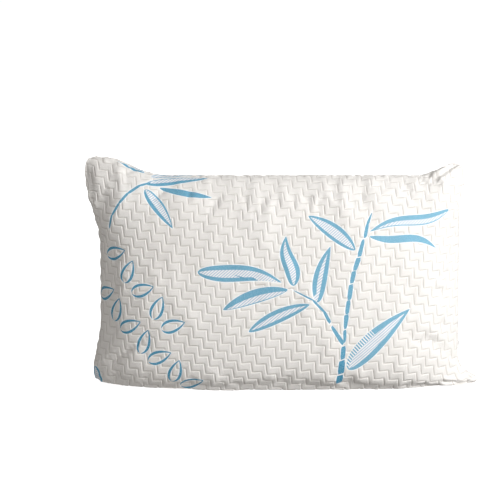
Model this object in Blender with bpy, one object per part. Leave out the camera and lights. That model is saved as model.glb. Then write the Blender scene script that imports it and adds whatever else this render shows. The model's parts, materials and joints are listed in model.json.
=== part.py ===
"""Bed pillow standing on its long edge and leaning a little back.

A quilted knit cover of two panels, zipped along one short side, holds a sewn liner bag full of foam.
Every soft layer is the same nested shape, drawn with its own inset from the cover's outside. The seams
and the zip lie in the pillow's middle plane, which leans back by LEAN.
"""

import math

import bmesh
import bpy
import numpy as np

# Driving dimensions: metres, and degrees for LEAN.
LEAN = 8.0
LEFT_REACH = 0.346  # from the centre line to the waist of the left side
RIGHT_REACH = 0.321  # from the centre line to the straight right side, where the zip is
HEIGHT = 0.385  # standing height at mid-length
HALF_DEPTH = 0.080  # half of the filled depth at mid-height
SLUMP = 0.20  # how much fuller the foot is than the middle
SINK = 0.030  # how much of the round edge the floor presses flat
LEFT_EAR_RISE = 0.037
RIGHT_EAR_RISE = 0.025
LEFT_EAR_FLARE = 0.029
LEFT_FOOT_FLARE = 0.016
RIGHT_EAR_FLARE = 0.013
RIGHT_FOOT_EAR = 0.051
EAR_ROUND = 0.007

COVER_WALL = 0.0030
LINER_WALL = 0.0008
GAP = 0.0003  # between pieces that touch
SEAM_WIDTH = 0.0060  # turned seam allowance with its overlock
SEAM_THICK = 0.0010
LINER_INSET = 0.0160  # from the cover's edge to the liner's, in the seam plane
LINER_SLACK = 0.0012  # between the cover's inner face and the liner
LINER_SEAM = (0.0024, 0.0016)  # width and thickness of the liner's overlocked edge
FOAM_SLACK = 0.0012

ZIP_LOW = 0.074  # height of the lower end of the zip's coil
ZIP_TOP_SPACE = 0.0733  # from the upper end of the coil to the cover's standing height
ZIP_MARGIN = 0.010  # of tape past each end of the coil
ZIP_CLEARANCE = 0.0008  # between the slider and a panel's edge
TAPE_REACH = 0.0130  # from the middle of the zip to a tape's outer edge
TAPE_THICK = 0.0006
TAPE_GAP = 0.0005  # between the panels' inner faces and the tapes
COIL_WIDTH = 0.0020
COIL_HEIGHT = 0.0020
COIL_PLAY = 0.0007  # between the coil and the slider's flange
STOP_LENGTH = 0.0022
END_STOP_LENGTH = 0.0030
STOP_LIP = 0.0006  # how far a stop reaches past the coil, sideways and outwards
SLIDER_LENGTH = 0.0090
SLIDER_FLANGE = 0.0009
SLIDER_PLATE = 0.0012
SLIDER_POST = 0.00042  # half of the post's thickness
POST_PLAY = 0.00038  # between the post and each coil half
CROWN_BAR = 0.0013
CROWN_HALF_WIDTH = 0.0008
CROWN_SHOULDER = 0.0005  # of the slider past each end of the crown
CROWN_PLAY = 0.00145  # between the tab's bar and the crown, both sides together
TAB_LENGTH = 0.0240
TAB_HALF_WIDTH = 0.0030
TAB_THICK = 0.0011
TAB_PLAY = 0.0007  # between the crown and each side of the tab's window
TAB_SWING = 0.0020  # between the crown's foot and the window's end
STITCH_FROM_EDGE = 0.0038  # from a panel's edge to its row of topstitching
STITCH_RADIUS = 0.00035

LABEL_AT = -0.45  # place along the top seam, from -1 at the left ear to 1 at the right one
LABEL_WIDTH = 0.034
LABEL_ROWS = 4
LABEL_THICK = 0.0004
LABEL_GAP = 0.0004

PANEL_GRID = (27, 17)
LINER_GRID = (17, 11)

WHITE_KNIT = (0.86, 0.85, 0.83)
WHITE_THREAD = (0.88, 0.88, 0.87)
WHITE_TAPE = (0.84, 0.84, 0.83)
WHITE_METAL = (0.80, 0.80, 0.80)
CLEAR_NYLON = (0.82, 0.83, 0.84)
LINER_CLOTH = (0.78, 0.78, 0.78)
FOAM = (0.80, 0.79, 0.60)
SATIN = (0.90, 0.90, 0.90)

COIL_INNER = SLIDER_POST + POST_PLAY  # half of the space between the coil halves
COIL_OUTER = COIL_INNER + COIL_WIDTH
TAPE_INSET = COVER_WALL + TAPE_GAP
COIL_LOW = GAP - TAPE_INSET  # the coil's faces, outwards from the cover's side
COIL_HIGH = COIL_LOW + COIL_HEIGHT
SLIDER_HALF_WIDTH = COIL_OUTER + COIL_PLAY + SLIDER_FLANGE
ZIP_SLOT = SLIDER_HALF_WIDTH + ZIP_CLEARANCE  # half of the opening between the panels
SLOPE = math.tan(math.radians(LEAN))
ALONG = np.array([0.0, math.sin(math.radians(LEAN)), math.cos(math.radians(LEAN))])
ACROSS = np.array([0.0, math.cos(math.radians(LEAN)), -math.sin(math.radians(LEAN))])
OUTWARD = np.array([1.0, 0.0, 0.0])
SIDE_POWER = 3.2  # of the depth's fall towards the sides
EDGE_POWER = 2.4  # of the depth's fall towards the top and the foot
ZIP_RISE = HEIGHT - ZIP_TOP_SPACE - ZIP_LOW  # the zip's own height
ZIP_LENGTH = ZIP_RISE / ALONG[2]  # of the coil, along the zip
SLOT_PAST = 0.008  # the slot's full width runs this far past the coil, then closes over SLOT_TAPER
SLOT_TAPER = 0.012


def smooth(t):
    """A step from 0 to 1 with level ends."""
    t = np.clip(t, 0.0, 1.0)
    return t * t * (3.0 - 2.0 * t)


def outline(u, v, inset, ears=1.0):
    """x and z of the point u across and v up the seam plane, on the outline drawn in by inset.

    ears is 1 on the cover, whose corners stand out, and 0 on the liner, which doesn't reach into them.
    """
    left = inset - LEFT_REACH - ears * LEFT_EAR_FLARE * smooth((v - 0.15) / 0.85)
    left = left - ears * LEFT_FOOT_FLARE * smooth((-v - 0.4) / 0.6)
    right = RIGHT_REACH - inset + ears * RIGHT_EAR_FLARE * smooth((v - 0.55) / 0.35)
    right = right + ears * RIGHT_FOOT_EAR * np.clip((-v - 0.66) / 0.34, 0.0, 1.0) ** 3
    top = HEIGHT - inset + ears * LEFT_EAR_RISE * smooth((-u - 0.55) / 0.45)
    top = top + ears * RIGHT_EAR_RISE * smooth((u - 0.74) / 0.25)
    foot = inset - SINK * (1.0 - np.abs(u) ** 4)
    corner = EAR_ROUND * np.abs(u * v) ** 16
    x = 0.5 * (left + right) + 0.5 * u * (right - left) - np.sign(u) * corner
    z = foot + (top - foot) * 0.5 * (v + 1.0) - np.sign(v) * corner
    return x, z


def depth(u, v, inset):
    """Distance from the seam plane to the surface, with the filling's crown and slump."""
    crown = np.sqrt(1.0 - np.abs(u) ** SIDE_POWER) * np.sqrt(1.0 - np.abs(v) ** EDGE_POWER)
    return (HALF_DEPTH * (1.0 - SLUMP * v) - inset) * crown


def slot(u, z):
    """How far the panels stand apart for the zip: ZIP_SLOT along the right side, and 0 elsewhere."""
    low = (z - (ZIP_LOW - SLOT_PAST - SLOT_TAPER)) / SLOT_TAPER
    high = ((ZIP_LOW + ZIP_RISE + SLOT_PAST + SLOT_TAPER) - z) / SLOT_TAPER
    return ZIP_SLOT * smooth(low) * smooth(high) * smooth((u - 0.9) / 0.1)


def skin(u, v, side, plane_inset, depth_inset, floor, cover=0.0):
    """Points of one nested layer. side is -1 in front and 1 behind, floor its lowest height.

    cover is 1 on the cover, which has ears and opens for the zip, and 0 on what is inside it.
    """
    x, z = outline(u, v, plane_inset, cover)
    z = np.maximum(z, floor)
    d = np.hypot(depth(u, v, depth_inset), cover * slot(u, z)) + 0.5 * GAP
    return np.stack([x, z * SLOPE + side * d, z], axis=-1)


def spread(count):
    """Values from -1 to 1, closer together near the ends."""
    return np.sin(np.linspace(-0.5, 0.5, count) * math.pi)


def height_share(z):
    """The value of v at height z on the right side of the cover."""
    top = HEIGHT + RIGHT_EAR_RISE
    return 2.0 * z / top - 1.0


def panel_rows():
    """Rows up a cover panel: an even spread, and one at each change of the zip's slot."""
    past = SLOT_PAST + SLOT_TAPER
    zip_top = ZIP_LOW + ZIP_RISE
    ends = [ZIP_LOW - past, ZIP_LOW - SLOT_PAST, zip_top + SLOT_PAST, zip_top + past]
    rows = spread(PANEL_GRID[1])
    kept = [row for row in rows if all(abs(row - height_share(z)) > 0.035 for z in ends)]
    return np.array(sorted(kept + [height_share(z) for z in ends]))


PANEL_U, PANEL_V = spread(PANEL_GRID[0]), panel_rows()
LINER_U, LINER_V = spread(LINER_GRID[0]), spread(LINER_GRID[1])


def centre():
    """Middle of the standing cover's box in plan, so that the part can stand on its origin."""
    u, v = np.meshgrid(PANEL_U, PANEL_V)
    both = [skin(u, v, side, 0.0, 0.0, 0.0, 1.0).reshape(-1, 3) for side in (-1, 1)]
    points = np.concatenate(both)
    middle = 0.5 * (points.min(axis=0) + points.max(axis=0))
    return np.array([middle[0], middle[1], 0.0])


CENTRE = centre()


def finish(name, vertices, faces, colour, roughness, metallic=0.0, round_piece=True):
    """One named object from world points, with its faces turned outwards and its own material."""
    mesh = bpy.data.meshes.new(name)
    mesh.from_pydata([tuple(p - CENTRE) for p in vertices], [], faces)
    build = bmesh.new()
    build.from_mesh(mesh)
    if build.calc_volume(signed=True) < 0.0:
        bmesh.ops.reverse_faces(build, faces=build.faces)
    build.to_mesh(mesh)
    build.free()
    if round_piece:
        mesh.shade_smooth()
        mesh.set_sharp_from_angle(angle=math.radians(40))
    material = bpy.data.materials.new(name)
    material.use_nodes = True
    shader = material.node_tree.nodes["Principled BSDF"]
    shader.inputs["Base Color"].default_value = (*colour, 1.0)
    shader.inputs["Roughness"].default_value = roughness
    shader.inputs["Metallic"].default_value = metallic
    mesh.materials.append(material)
    piece = bpy.data.objects.new(name, mesh)
    bpy.context.scene.collection.objects.link(piece)
    return piece


def grid_faces(rows, columns, start=0):
    """Triangles of a grid whose points are listed row by row, so that nested layers fold alike."""
    faces = []
    for r in range(rows - 1):
        for c in range(columns - 1):
            a = start + r * columns + c
            faces.append((a, a + 1, a + columns + 1))
            faces.append((a, a + columns + 1, a + columns))
    return faces


def border(rows, columns):
    """Indices round the edge of such a grid, in order."""
    low = list(range(columns))
    right = [r * columns + columns - 1 for r in range(1, rows)]
    high = [(rows - 1) * columns + c for c in range(columns - 2, -1, -1)]
    left = [r * columns for r in range(rows - 2, 0, -1)]
    return low + right + high + left


def shell(name, outer, inner, colour, roughness):
    """A closed sheet between two grids of points, joined round their borders."""
    rows, columns = outer.shape[:2]
    count = rows * columns
    points = np.concatenate([outer.reshape(-1, 3), inner.reshape(-1, 3)])
    faces = grid_faces(rows, columns)
    faces += [face[::-1] for face in grid_faces(rows, columns, count)]
    ring = border(rows, columns)
    for a, b in zip(ring, ring[1:] + ring[:1]):
        faces.append((b, a, a + count, b + count))
    return finish(name, points, faces, colour, roughness)


def bar(name, sections, colour, roughness, closed=False):
    """A bar through sections, an array of rings of points. Its ends are capped unless it is closed."""
    count, sides = sections.shape[:2]
    faces = []
    for s in range(count if closed else count - 1):
        a, b = s * sides, (s + 1) % count * sides
        for k in range(sides):
            m = (k + 1) % sides
            faces.append((a + k, a + m, b + m, b + k))
    if not closed:
        faces.append(tuple(range(sides))[::-1])
        faces.append(tuple((count - 1) * sides + k for k in range(sides)))
    return finish(name, sections.reshape(-1, 3), faces, colour, roughness)


def zip_x(reach, z, inset):
    """Where the layer drawn in by inset lies at a distance reach from the middle of the zip."""
    share = reach / depth(0.0, height_share(z), inset)
    fall = 1.0 - (1.0 - share * share) ** (1.0 / SIDE_POWER)
    return RIGHT_REACH - inset - 0.5 * (LEFT_REACH + RIGHT_REACH) * fall


def on_zip(a, n, x):
    """A point a along the zip, n behind its middle and x outside the cover's straight side."""
    foot = np.array([RIGHT_REACH, ZIP_LOW * SLOPE, ZIP_LOW])
    a, n, x = np.broadcast_arrays(a, n, x)
    return foot + a[..., None] * ALONG + n[..., None] * ACROSS + x[..., None] * OUTWARD


def zip_prism(name, profile, low, high, colour, roughness, metallic=0.0):
    """A solid with one profile of (n, x) points, run along the zip from low to high."""
    profile = np.array(profile)
    ends = [on_zip(np.full(len(profile), a), profile[:, 0], profile[:, 1]) for a in (low, high)]
    count = len(profile)
    faces = [tuple(range(count))[::-1], tuple(range(count, 2 * count))]
    for k in range(count):
        m = (k + 1) % count
        faces.append((k, m, m + count, k + count))
    return finish(name, np.concatenate(ends), faces, colour, roughness, metallic, False)


def box_profile(n0, n1, x0, x1):
    """A rectangle as a profile."""
    return [(n0, x0), (n1, x0), (n1, x1), (n0, x1)]


def make_cover():
    """Front and back panels: quilted knit of one thickness, open along the zip."""
    u, v = np.meshgrid(PANEL_U, PANEL_V)
    for name, side in (("cover_front_panel", -1), ("cover_back_panel", 1)):
        outer = skin(u, v, side, 0.0, 0.0, 0.0, 1.0)
        inner = skin(u, v, side, COVER_WALL, COVER_WALL, COVER_WALL, 1.0)
        shell(name, outer, inner, WHITE_KNIT, 0.9)


def flat_sections(path_u, path_v, insets, half_thick, ears=1.0, floors=(0.0, 0.0)):
    """Rectangular sections in the seam plane, between two insets and two lowest heights."""
    corners = []
    for inset, low in zip(insets, floors):
        x, z = outline(path_u, path_v, inset, ears)
        z = np.maximum(z, low)
        for side in (-1, 1) if inset == insets[0] else (1, -1):
            corners.append(np.stack([x, z * SLOPE + side * half_thick, z], axis=-1))
    return np.stack(corners, axis=1)


def between(lines, low, high):
    """The two limits, and the grid lines between them."""
    return np.array([low, *[line for line in lines if low + 0.01 < line < high - 0.01], high])


def make_cover_seams():
    """The turned, overlocked allowances: one along each edge, and two beside the zip."""
    start = COVER_WALL + 3.0 * GAP
    insets = (start, start + SEAM_WIDTH)
    half = 0.5 * SEAM_THICK
    past = ZIP_MARGIN + 0.004
    across = between(PANEL_U, -0.88, 0.88)
    upright = between(PANEL_V, -0.76, 0.84)
    right_low = between(PANEL_V, -0.86, height_share(ZIP_LOW - past))
    right_high = between(PANEL_V, height_share(ZIP_LOW + ZIP_RISE + past), 0.84)
    runs = (
        ("seam_overlock_top", across, np.ones_like(across)),
        ("seam_overlock_left", -np.ones_like(upright), upright),
        ("seam_overlock_right_lower", np.ones_like(right_low), right_low),
        ("seam_overlock_right_upper", np.ones_like(right_high), right_high),
    )
    for name, path_u, path_v in runs:
        bar(name, flat_sections(path_u, path_v, insets, half), WHITE_THREAD, 0.85)
    x, _ = outline(np.linspace(-0.8, 0.8, 9), -1.0, 0.0)
    low = COVER_WALL + GAP
    rings = []
    for y, z in ((-0.5, 0.0), (0.5, 0.0), (0.5, 1.0), (-0.5, 1.0)):
        flat = low + z * SEAM_THICK
        rings.append(np.stack([x, np.full_like(x, y * SEAM_WIDTH + flat * SLOPE),
                               np.full_like(x, flat)], axis=-1))
    bar("seam_overlock_bottom", np.stack(rings, axis=1), WHITE_THREAD, 0.85)


def make_liner():
    """The inner bag: two thin panels, and the overlocked edge all round them."""
    u, v = np.meshgrid(LINER_U, LINER_V)
    seam_floor = COVER_WALL + GAP + SEAM_THICK + GAP
    floor = seam_floor + LINER_SEAM[0] + GAP
    deep = COVER_WALL + LINER_SLACK
    for name, side in (("liner_front_panel", -1), ("liner_back_panel", 1)):
        outer = skin(u, v, side, LINER_INSET, deep, floor)
        inner = skin(u, v, side, LINER_INSET + LINER_WALL, deep + LINER_WALL, floor + LINER_WALL)
        shell(name, outer, inner, LINER_CLOTH, 0.8)
    one_u, one_v = np.ones(len(LINER_U) - 1), np.ones(len(LINER_V) - 1)
    path_u = np.concatenate([LINER_U[:-1], one_v, LINER_U[:0:-1], -one_v])
    path_v = np.concatenate([-one_u, LINER_V[:-1], one_u, LINER_V[:0:-1]])
    start = LINER_INSET - GAP - LINER_SEAM[0]
    insets = (start, start + LINER_SEAM[0])
    floors = (seam_floor, seam_floor + LINER_SEAM[0])
    sections = flat_sections(path_u, path_v, insets, 0.5 * LINER_SEAM[1], 0.0, floors)
    bar("liner_seam_overlock", sections, WHITE_THREAD, 0.85, closed=True)
    return floor + LINER_WALL, LINER_INSET + LINER_WALL, deep + LINER_WALL


def make_foam(floor, plane_inset, depth_inset):
    """The shredded foam as one body that fills the liner."""
    u, v = np.meshgrid(LINER_U, LINER_V)
    rows, columns = u.shape
    count = rows * columns
    layers = [skin(u, v, side, plane_inset + FOAM_SLACK, depth_inset + FOAM_SLACK, floor + FOAM_SLACK)
              for side in (-1, 1)]
    ring = border(rows, columns)
    points = np.concatenate([layer.reshape(-1, 3) for layer in layers])
    faces = grid_faces(rows, columns) + [face[::-1] for face in grid_faces(rows, columns, count)]
    for a, b in zip(ring, ring[1:] + ring[:1]):
        faces.append((b, a, a + count, b + count))
    finish("foam_fill", points, faces, FOAM, 0.95)


def make_zip_tapes():
    """Two woven tapes behind the panels' edges, which follow the cover's round side."""
    along = np.linspace(-ZIP_MARGIN, ZIP_LENGTH + ZIP_MARGIN, 9)
    reach = np.linspace(COIL_INNER, TAPE_REACH, 6)
    z = ZIP_LOW + along * ALONG[2]
    for name, side in (("zip_tape_front", -1), ("zip_tape_back", 1)):
        layers = []
        for inset in (TAPE_INSET, TAPE_INSET + TAPE_THICK):
            x = zip_x(reach[None, :], z[:, None], inset) - RIGHT_REACH
            layers.append(on_zip(along[:, None], side * reach[None, :], x))
        shell(name, layers[0], layers[1], WHITE_TAPE, 0.85)


def make_zip_coil_and_stops():
    """The coil halves on the tapes, and the stops past their two ends."""
    stop_reach, stop_high = COIL_OUTER + STOP_LIP, COIL_HIGH + STOP_LIP
    for name, side in (("zip_coil_front", -1), ("zip_coil_back", 1)):
        n0, n1 = sorted((side * COIL_INNER, side * COIL_OUTER))
        zip_prism(name, box_profile(n0, n1, COIL_LOW, COIL_HIGH), 0.0, ZIP_LENGTH, CLEAR_NYLON, 0.4)
    for name, side in (("zip_top_stop_front", -1), ("zip_top_stop_back", 1)):
        n0, n1 = sorted((side * COIL_INNER, side * stop_reach))
        profile = box_profile(n0, n1, COIL_LOW, stop_high)
        zip_prism(name, profile, -GAP - STOP_LENGTH, -GAP, WHITE_METAL, 0.35, 1.0)
    start = ZIP_LENGTH + GAP
    profile = box_profile(-stop_reach, stop_reach, COIL_LOW, stop_high)
    zip_prism("zip_bottom_stop", profile, start, start + END_STOP_LENGTH, WHITE_METAL, 0.35, 1.0)


def make_slider():
    """The slider round the coil, its crown, and the tab that hangs on the crown."""
    under = COIL_HIGH + GAP
    top = under + SLIDER_PLATE
    tape_outer = zip_x(SLIDER_HALF_WIDTH, ZIP_LOW + 0.5 * ZIP_RISE, TAPE_INSET) - RIGHT_REACH
    lip = tape_outer + 2.0 * GAP
    inner_top = tape_outer - TAPE_THICK - 2.0 * GAP
    inner_low = inner_top - SLIDER_PLATE
    wide, flange, post = SLIDER_HALF_WIDTH, SLIDER_HALF_WIDTH - SLIDER_FLANGE, SLIDER_POST
    right = [(wide, top), (wide, lip), (flange, lip), (flange, under), (post, under),
             (post, inner_top), (wide, inner_top), (wide, inner_low)]
    left = [(-n, x) for n, x in reversed(right)]
    zip_prism("zip_slider_body", right + left, 0.0, SLIDER_LENGTH, WHITE_METAL, 0.35, 1.0)

    middle = 0.5 * SLIDER_LENGTH
    base = top + GAP
    half = middle - CROWN_SHOULDER
    room = base + TAB_THICK + CROWN_PLAY
    arch = [(-half, base), (-half, room + CROWN_BAR), (half, room + CROWN_BAR), (half, base),
            (half - CROWN_BAR, base), (half - CROWN_BAR, room), (CROWN_BAR - half, room),
            (CROWN_BAR - half, base)]
    arch = np.array(arch)
    sides = [on_zip(middle + arch[:, 0], np.full(len(arch), n), arch[:, 1])
             for n in (-CROWN_HALF_WIDTH, CROWN_HALF_WIDTH)]
    bar("zip_slider_crown", np.stack(sides), WHITE_METAL, 0.35)

    pivot = 0.5 * (base + room)
    half_window = CROWN_HALF_WIDTH + TAB_PLAY
    grip = 0.5 * TAB_THICK
    rows = np.array([grip, -grip, -half - TAB_SWING, -TAB_LENGTH]) + middle
    columns = np.array([-TAB_HALF_WIDTH, -half_window, half_window, TAB_HALF_WIDTH])
    layers = [on_zip(rows[:, None], columns[None, :], pivot + side * grip) for side in (-1, 1)]
    points = np.concatenate([layer.reshape(-1, 3) for layer in layers])
    hole = (5, 6, 10, 9)
    faces = [face for face in grid_faces(4, 4) if not set(face) <= set(hole)]
    faces += [tuple(k + 16 for k in face[::-1]) for face in faces]
    for ring, step in ((border(4, 4), 1), (list(hole), -1)):
        for a, b in zip(ring, ring[1:] + ring[:1]):
            faces.append((b, a, a + 16, b + 16)[::step])
    finish("zip_pull_tab", points, faces, WHITE_METAL, 0.4, 0.0, False)


def make_topstitching():
    """A row of thread on each panel, beside the zip."""
    along = np.linspace(-0.004, ZIP_LENGTH + 0.004, 11)
    z = ZIP_LOW + along * ALONG[2]
    turn = np.linspace(0.0, 2.0 * math.pi, 6, endpoint=False)
    offset = ZIP_SLOT + STITCH_FROM_EDGE
    reach = math.sqrt(offset**2 - ZIP_SLOT**2)
    x = zip_x(reach, z, 0.0) - RIGHT_REACH + STITCH_RADIUS + GAP
    for name, side in (("zip_topstitch_front", -1), ("zip_topstitch_back", 1)):
        n = side * offset + STITCH_RADIUS * np.sin(turn)
        rings = on_zip(along[:, None], n[None, :], x[:, None] + STITCH_RADIUS * np.cos(turn)[None, :])
        bar(name, rings, WHITE_THREAD, 0.8)


def facets(u, v):
    """Points of the back panel's outer facets, read between the panel's own lines."""
    gu, gv = np.meshgrid(PANEL_U, PANEL_V)
    grid = skin(gu, gv, 1, 0.0, 0.0, 0.0, 1.0)
    out = np.empty(u.shape + (3,))
    for axis in range(3):
        rows = np.stack([np.interp(u[0], PANEL_U, line) for line in grid[..., axis]])
        for c in range(u.shape[1]):
            out[:, c, axis] = np.interp(v[:, c], PANEL_V, rows[:, c])
    return out


def make_label():
    """The blank care label, which leaves the top seam and lies on the back panel."""
    half = LABEL_WIDTH / (LEFT_REACH + RIGHT_REACH)
    u, v = np.meshgrid(np.linspace(LABEL_AT - half, LABEL_AT + half, 3), PANEL_V[: -LABEL_ROWS - 2 : -1])
    flat = facets(u, v)
    run, side = np.gradient(flat, axis=0), np.gradient(flat, axis=1)
    normal = np.cross(side, run)
    normal /= np.linalg.norm(normal, axis=-1, keepdims=True)
    normal *= np.sign(normal[-1, 1, 1])
    shell("care_label", flat + (LABEL_GAP + LABEL_THICK) * normal, flat + LABEL_GAP * normal, SATIN, 0.5)


def main():
    for piece in list(bpy.data.objects):
        bpy.data.objects.remove(piece)
    make_cover()
    make_cover_seams()
    make_foam(*make_liner())
    make_zip_tapes()
    make_zip_coil_and_stops()
    make_slider()
    make_topstitching()
    make_label()


main()
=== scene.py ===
"""A quilted bed pillow: a knitted zip cover with a leaf print, over a liner full of shredded foam."""
import json
import math

import bmesh
import bpy
import numpy as np
from bpy.props import FloatProperty, FloatVectorProperty, IntProperty, PointerProperty
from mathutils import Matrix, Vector

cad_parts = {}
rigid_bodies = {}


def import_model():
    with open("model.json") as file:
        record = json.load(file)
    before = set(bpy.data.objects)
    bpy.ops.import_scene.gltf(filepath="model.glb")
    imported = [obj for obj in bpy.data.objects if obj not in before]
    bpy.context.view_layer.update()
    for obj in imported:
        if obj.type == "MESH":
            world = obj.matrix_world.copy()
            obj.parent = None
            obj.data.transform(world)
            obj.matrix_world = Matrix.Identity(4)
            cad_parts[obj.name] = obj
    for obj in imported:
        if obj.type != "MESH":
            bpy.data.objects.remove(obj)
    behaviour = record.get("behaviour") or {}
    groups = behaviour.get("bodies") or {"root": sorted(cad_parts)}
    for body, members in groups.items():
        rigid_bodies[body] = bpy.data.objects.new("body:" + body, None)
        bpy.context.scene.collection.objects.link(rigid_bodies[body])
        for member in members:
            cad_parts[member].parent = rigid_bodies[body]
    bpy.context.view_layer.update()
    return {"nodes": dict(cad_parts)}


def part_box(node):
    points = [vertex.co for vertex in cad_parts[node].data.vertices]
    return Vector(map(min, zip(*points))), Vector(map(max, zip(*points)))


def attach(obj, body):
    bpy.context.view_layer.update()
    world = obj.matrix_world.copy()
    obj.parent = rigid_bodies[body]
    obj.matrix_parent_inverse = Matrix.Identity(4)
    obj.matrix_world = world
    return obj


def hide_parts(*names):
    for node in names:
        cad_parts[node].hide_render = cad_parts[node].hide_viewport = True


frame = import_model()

bl_info = {
    "name": "Quilted Bed Pillow",
    "version": (1, 0, 0),
    "blender": (4, 5, 0),
    "location": "View3D > Sidebar > Pillow",
    "description": "Builds a quilted knit pillow with its zip, liner, filling and stage",
    "category": "Object",
}

# Sizes of the sewn pillow, in metres. They repeat the frame's own.
LEAN = math.radians(8.0)
LEFT_REACH, RIGHT_REACH, HEIGHT, HALF_DEPTH = 0.346, 0.321, 0.385, 0.080
SLUMP, SINK = 0.20, 0.030
LEFT_EAR_RISE, RIGHT_EAR_RISE = 0.037, 0.025
LEFT_EAR_FLARE, LEFT_FOOT_FLARE = 0.029, 0.016
RIGHT_EAR_FLARE, RIGHT_FOOT_EAR, EAR_ROUND = 0.013, 0.051, 0.007
SIDE_POWER, EDGE_POWER = 3.2, 2.4
COVER_WALL, LINER_WALL, GAP = 0.003, 0.0008, 0.0003
SEAM_WIDTH, SEAM_THICK = 0.006, 0.001
LINER_INSET, LINER_SLACK, FOAM_SLACK = 0.016, 0.0012, 0.0012
LINER_SEAM_WIDTH, LINER_SEAM_THICK = 0.0024, 0.0016
ZIP_LOW, ZIP_TOP_SPACE, ZIP_MARGIN = 0.074, 0.0733, 0.010
SLOT_PAST, SLOT_TAPER = 0.008, 0.012
TAPE_REACH, TAPE_THICK, TAPE_INSET = 0.0130, 0.0006, 0.0035
COIL_LOW, COIL_HIGH = -0.0032, -0.0012
COIL_INNER, COIL_OUTER = 0.0008, 0.0028
COIL_TOOTH = 0.00048  # how near to the zip's middle a wound turn reaches
ZIP_SLOT = 0.0052
STITCH_FROM_EDGE, STITCH_RADIUS = 0.0038, 0.00035
LABEL_AT, LABEL_WIDTH, LABEL_THICK = -0.45, 0.034, 0.0004
PLAN_CENTRE = np.array([-0.0036859, 0.0191027, 0.0])
SLOPE = math.tan(LEAN)
ALONG = np.array([0.0, math.sin(LEAN), math.cos(LEAN)])
ACROSS = np.array([0.0, math.cos(LEAN), -math.sin(LEAN)])
OUTWARD = np.array([1.0, 0.0, 0.0])
ZIP_RISE = HEIGHT - ZIP_TOP_SPACE - ZIP_LOW
ZIP_LENGTH = ZIP_RISE / ALONG[2]
MM = 0.001
CLOTH_LEVEL = 0.18  # height from which lengths up the cloth are counted
PAST_ZIP = 0.004  # the topstitching ends this far past the zip, and the overlocking past its tapes
# The cloth simulation: grid points of the bag, frames, and the limits of the move outwards and inwards.
BAG_ROWS, BAG_COLUMNS, CLOTH_FRAMES = 65, 105, 24
LIFT_CAP, LIFT_FLOOR = 0.0065, -0.0020
# The finished panel of each side: its u and v lines, and its height over the sewn shape.
COVER_HEIGHTS = {}


class PillowCoverSettings(bpy.types.PropertyGroup):
    """Sizes and colours of the quilted knit cover."""

    quilt_depth: FloatProperty(name="Quilting Depth", default=0.0018, subtype="DISTANCE", unit="LENGTH",
                               description="How far a quilting groove sinks below the puffed blocks")
    groove_width: FloatProperty(name="Groove Width", default=0.0012, subtype="DISTANCE", unit="LENGTH",
                                description="Reach of a groove's steep flank to each side of its line")
    seam_pinch: FloatProperty(name="Seam Pinch", default=0.0028, subtype="DISTANCE", unit="LENGTH",
                              description="How far the knit is drawn in at the sewn edge")
    front_columns: IntProperty(name="Front Columns", default=808, description="Grid steps across the front")
    front_rows: IntProperty(name="Front Rows", default=536, description="Grid steps up the front")
    back_columns: IntProperty(name="Back Columns", default=544, description="Grid steps across the back")
    back_rows: IntProperty(name="Back Rows", default=360, description="Grid steps up the back")
    cloth_pressure: FloatProperty(name="Cloth Pressure", default=4.0,
                                  description="How strongly the filling pushes the cover outwards")
    cloth_ease: FloatProperty(name="Cloth Ease", default=0.02, subtype="FACTOR",
                              description="Share by which the cover's cloth is larger than its sewn shape")
    cloth_bending: FloatProperty(name="Cloth Bending", default=0.3,
                                 description="Stiffness of the cover's cloth against bending")
    knit_colour: FloatVectorProperty(name="Knit", subtype="COLOR", size=3, default=(0.86, 0.845, 0.825),
                                     description="Colour of the off-white knit")
    # Painted shade: the colour that the knit is darkened to deep in a quilting groove, where shade falls.
    groove_shade_colour: FloatVectorProperty(name="Groove", subtype="COLOR", size=3, default=(0.56, 0.53, 0.50),
                                       description="Colour deep in a quilting groove")
    ink_light: FloatVectorProperty(name="Light Ink", subtype="COLOR", size=3, default=(0.20, 0.45, 0.61),
                                   description="Thread colour of the lighter leaves")
    ink_dark: FloatVectorProperty(name="Dark Ink", subtype="COLOR", size=3, default=(0.045, 0.285, 0.47),
                                  description="Thread colour of the darker stalks and leaves")
    ink_pale: FloatVectorProperty(name="Hatching", subtype="COLOR", size=3, default=(0.42, 0.57, 0.72),
                                  description="Thread colour of the fine hatching in the leaves")
    hatch_pitch: FloatProperty(name="Hatching Pitch", default=0.0039, subtype="DISTANCE", unit="LENGTH",
                               description="Distance between two lines of hatching")
    stitch: FloatProperty(name="Knit Stitch", default=0.0011, subtype="DISTANCE", unit="LENGTH",
                          description="Width of one knitted stitch")


class PillowFillingSettings(bpy.types.PropertyGroup):
    """Sizes and colours of the liner and the foam."""

    lump: FloatProperty(name="Foam Lump", default=0.016, subtype="DISTANCE", unit="LENGTH",
                        description="Size of a shred of foam")
    lump_depth: FloatProperty(name="Lump Depth", default=0.0032, subtype="DISTANCE", unit="LENGTH",
                              description="Depth of the hollows between shreds")
    wrinkle: FloatProperty(name="Liner Wrinkle", default=0.0006, subtype="DISTANCE", unit="LENGTH",
                           description="Height of the liner's wrinkles")
    foam_colour: FloatVectorProperty(name="Foam", subtype="COLOR", size=3, default=(0.80, 0.77, 0.58),
                                     description="Main colour of the foam")
    liner_colour: FloatVectorProperty(name="Liner", subtype="COLOR", size=3, default=(0.80, 0.80, 0.79),
                                      description="Colour of the liner cloth")


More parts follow.
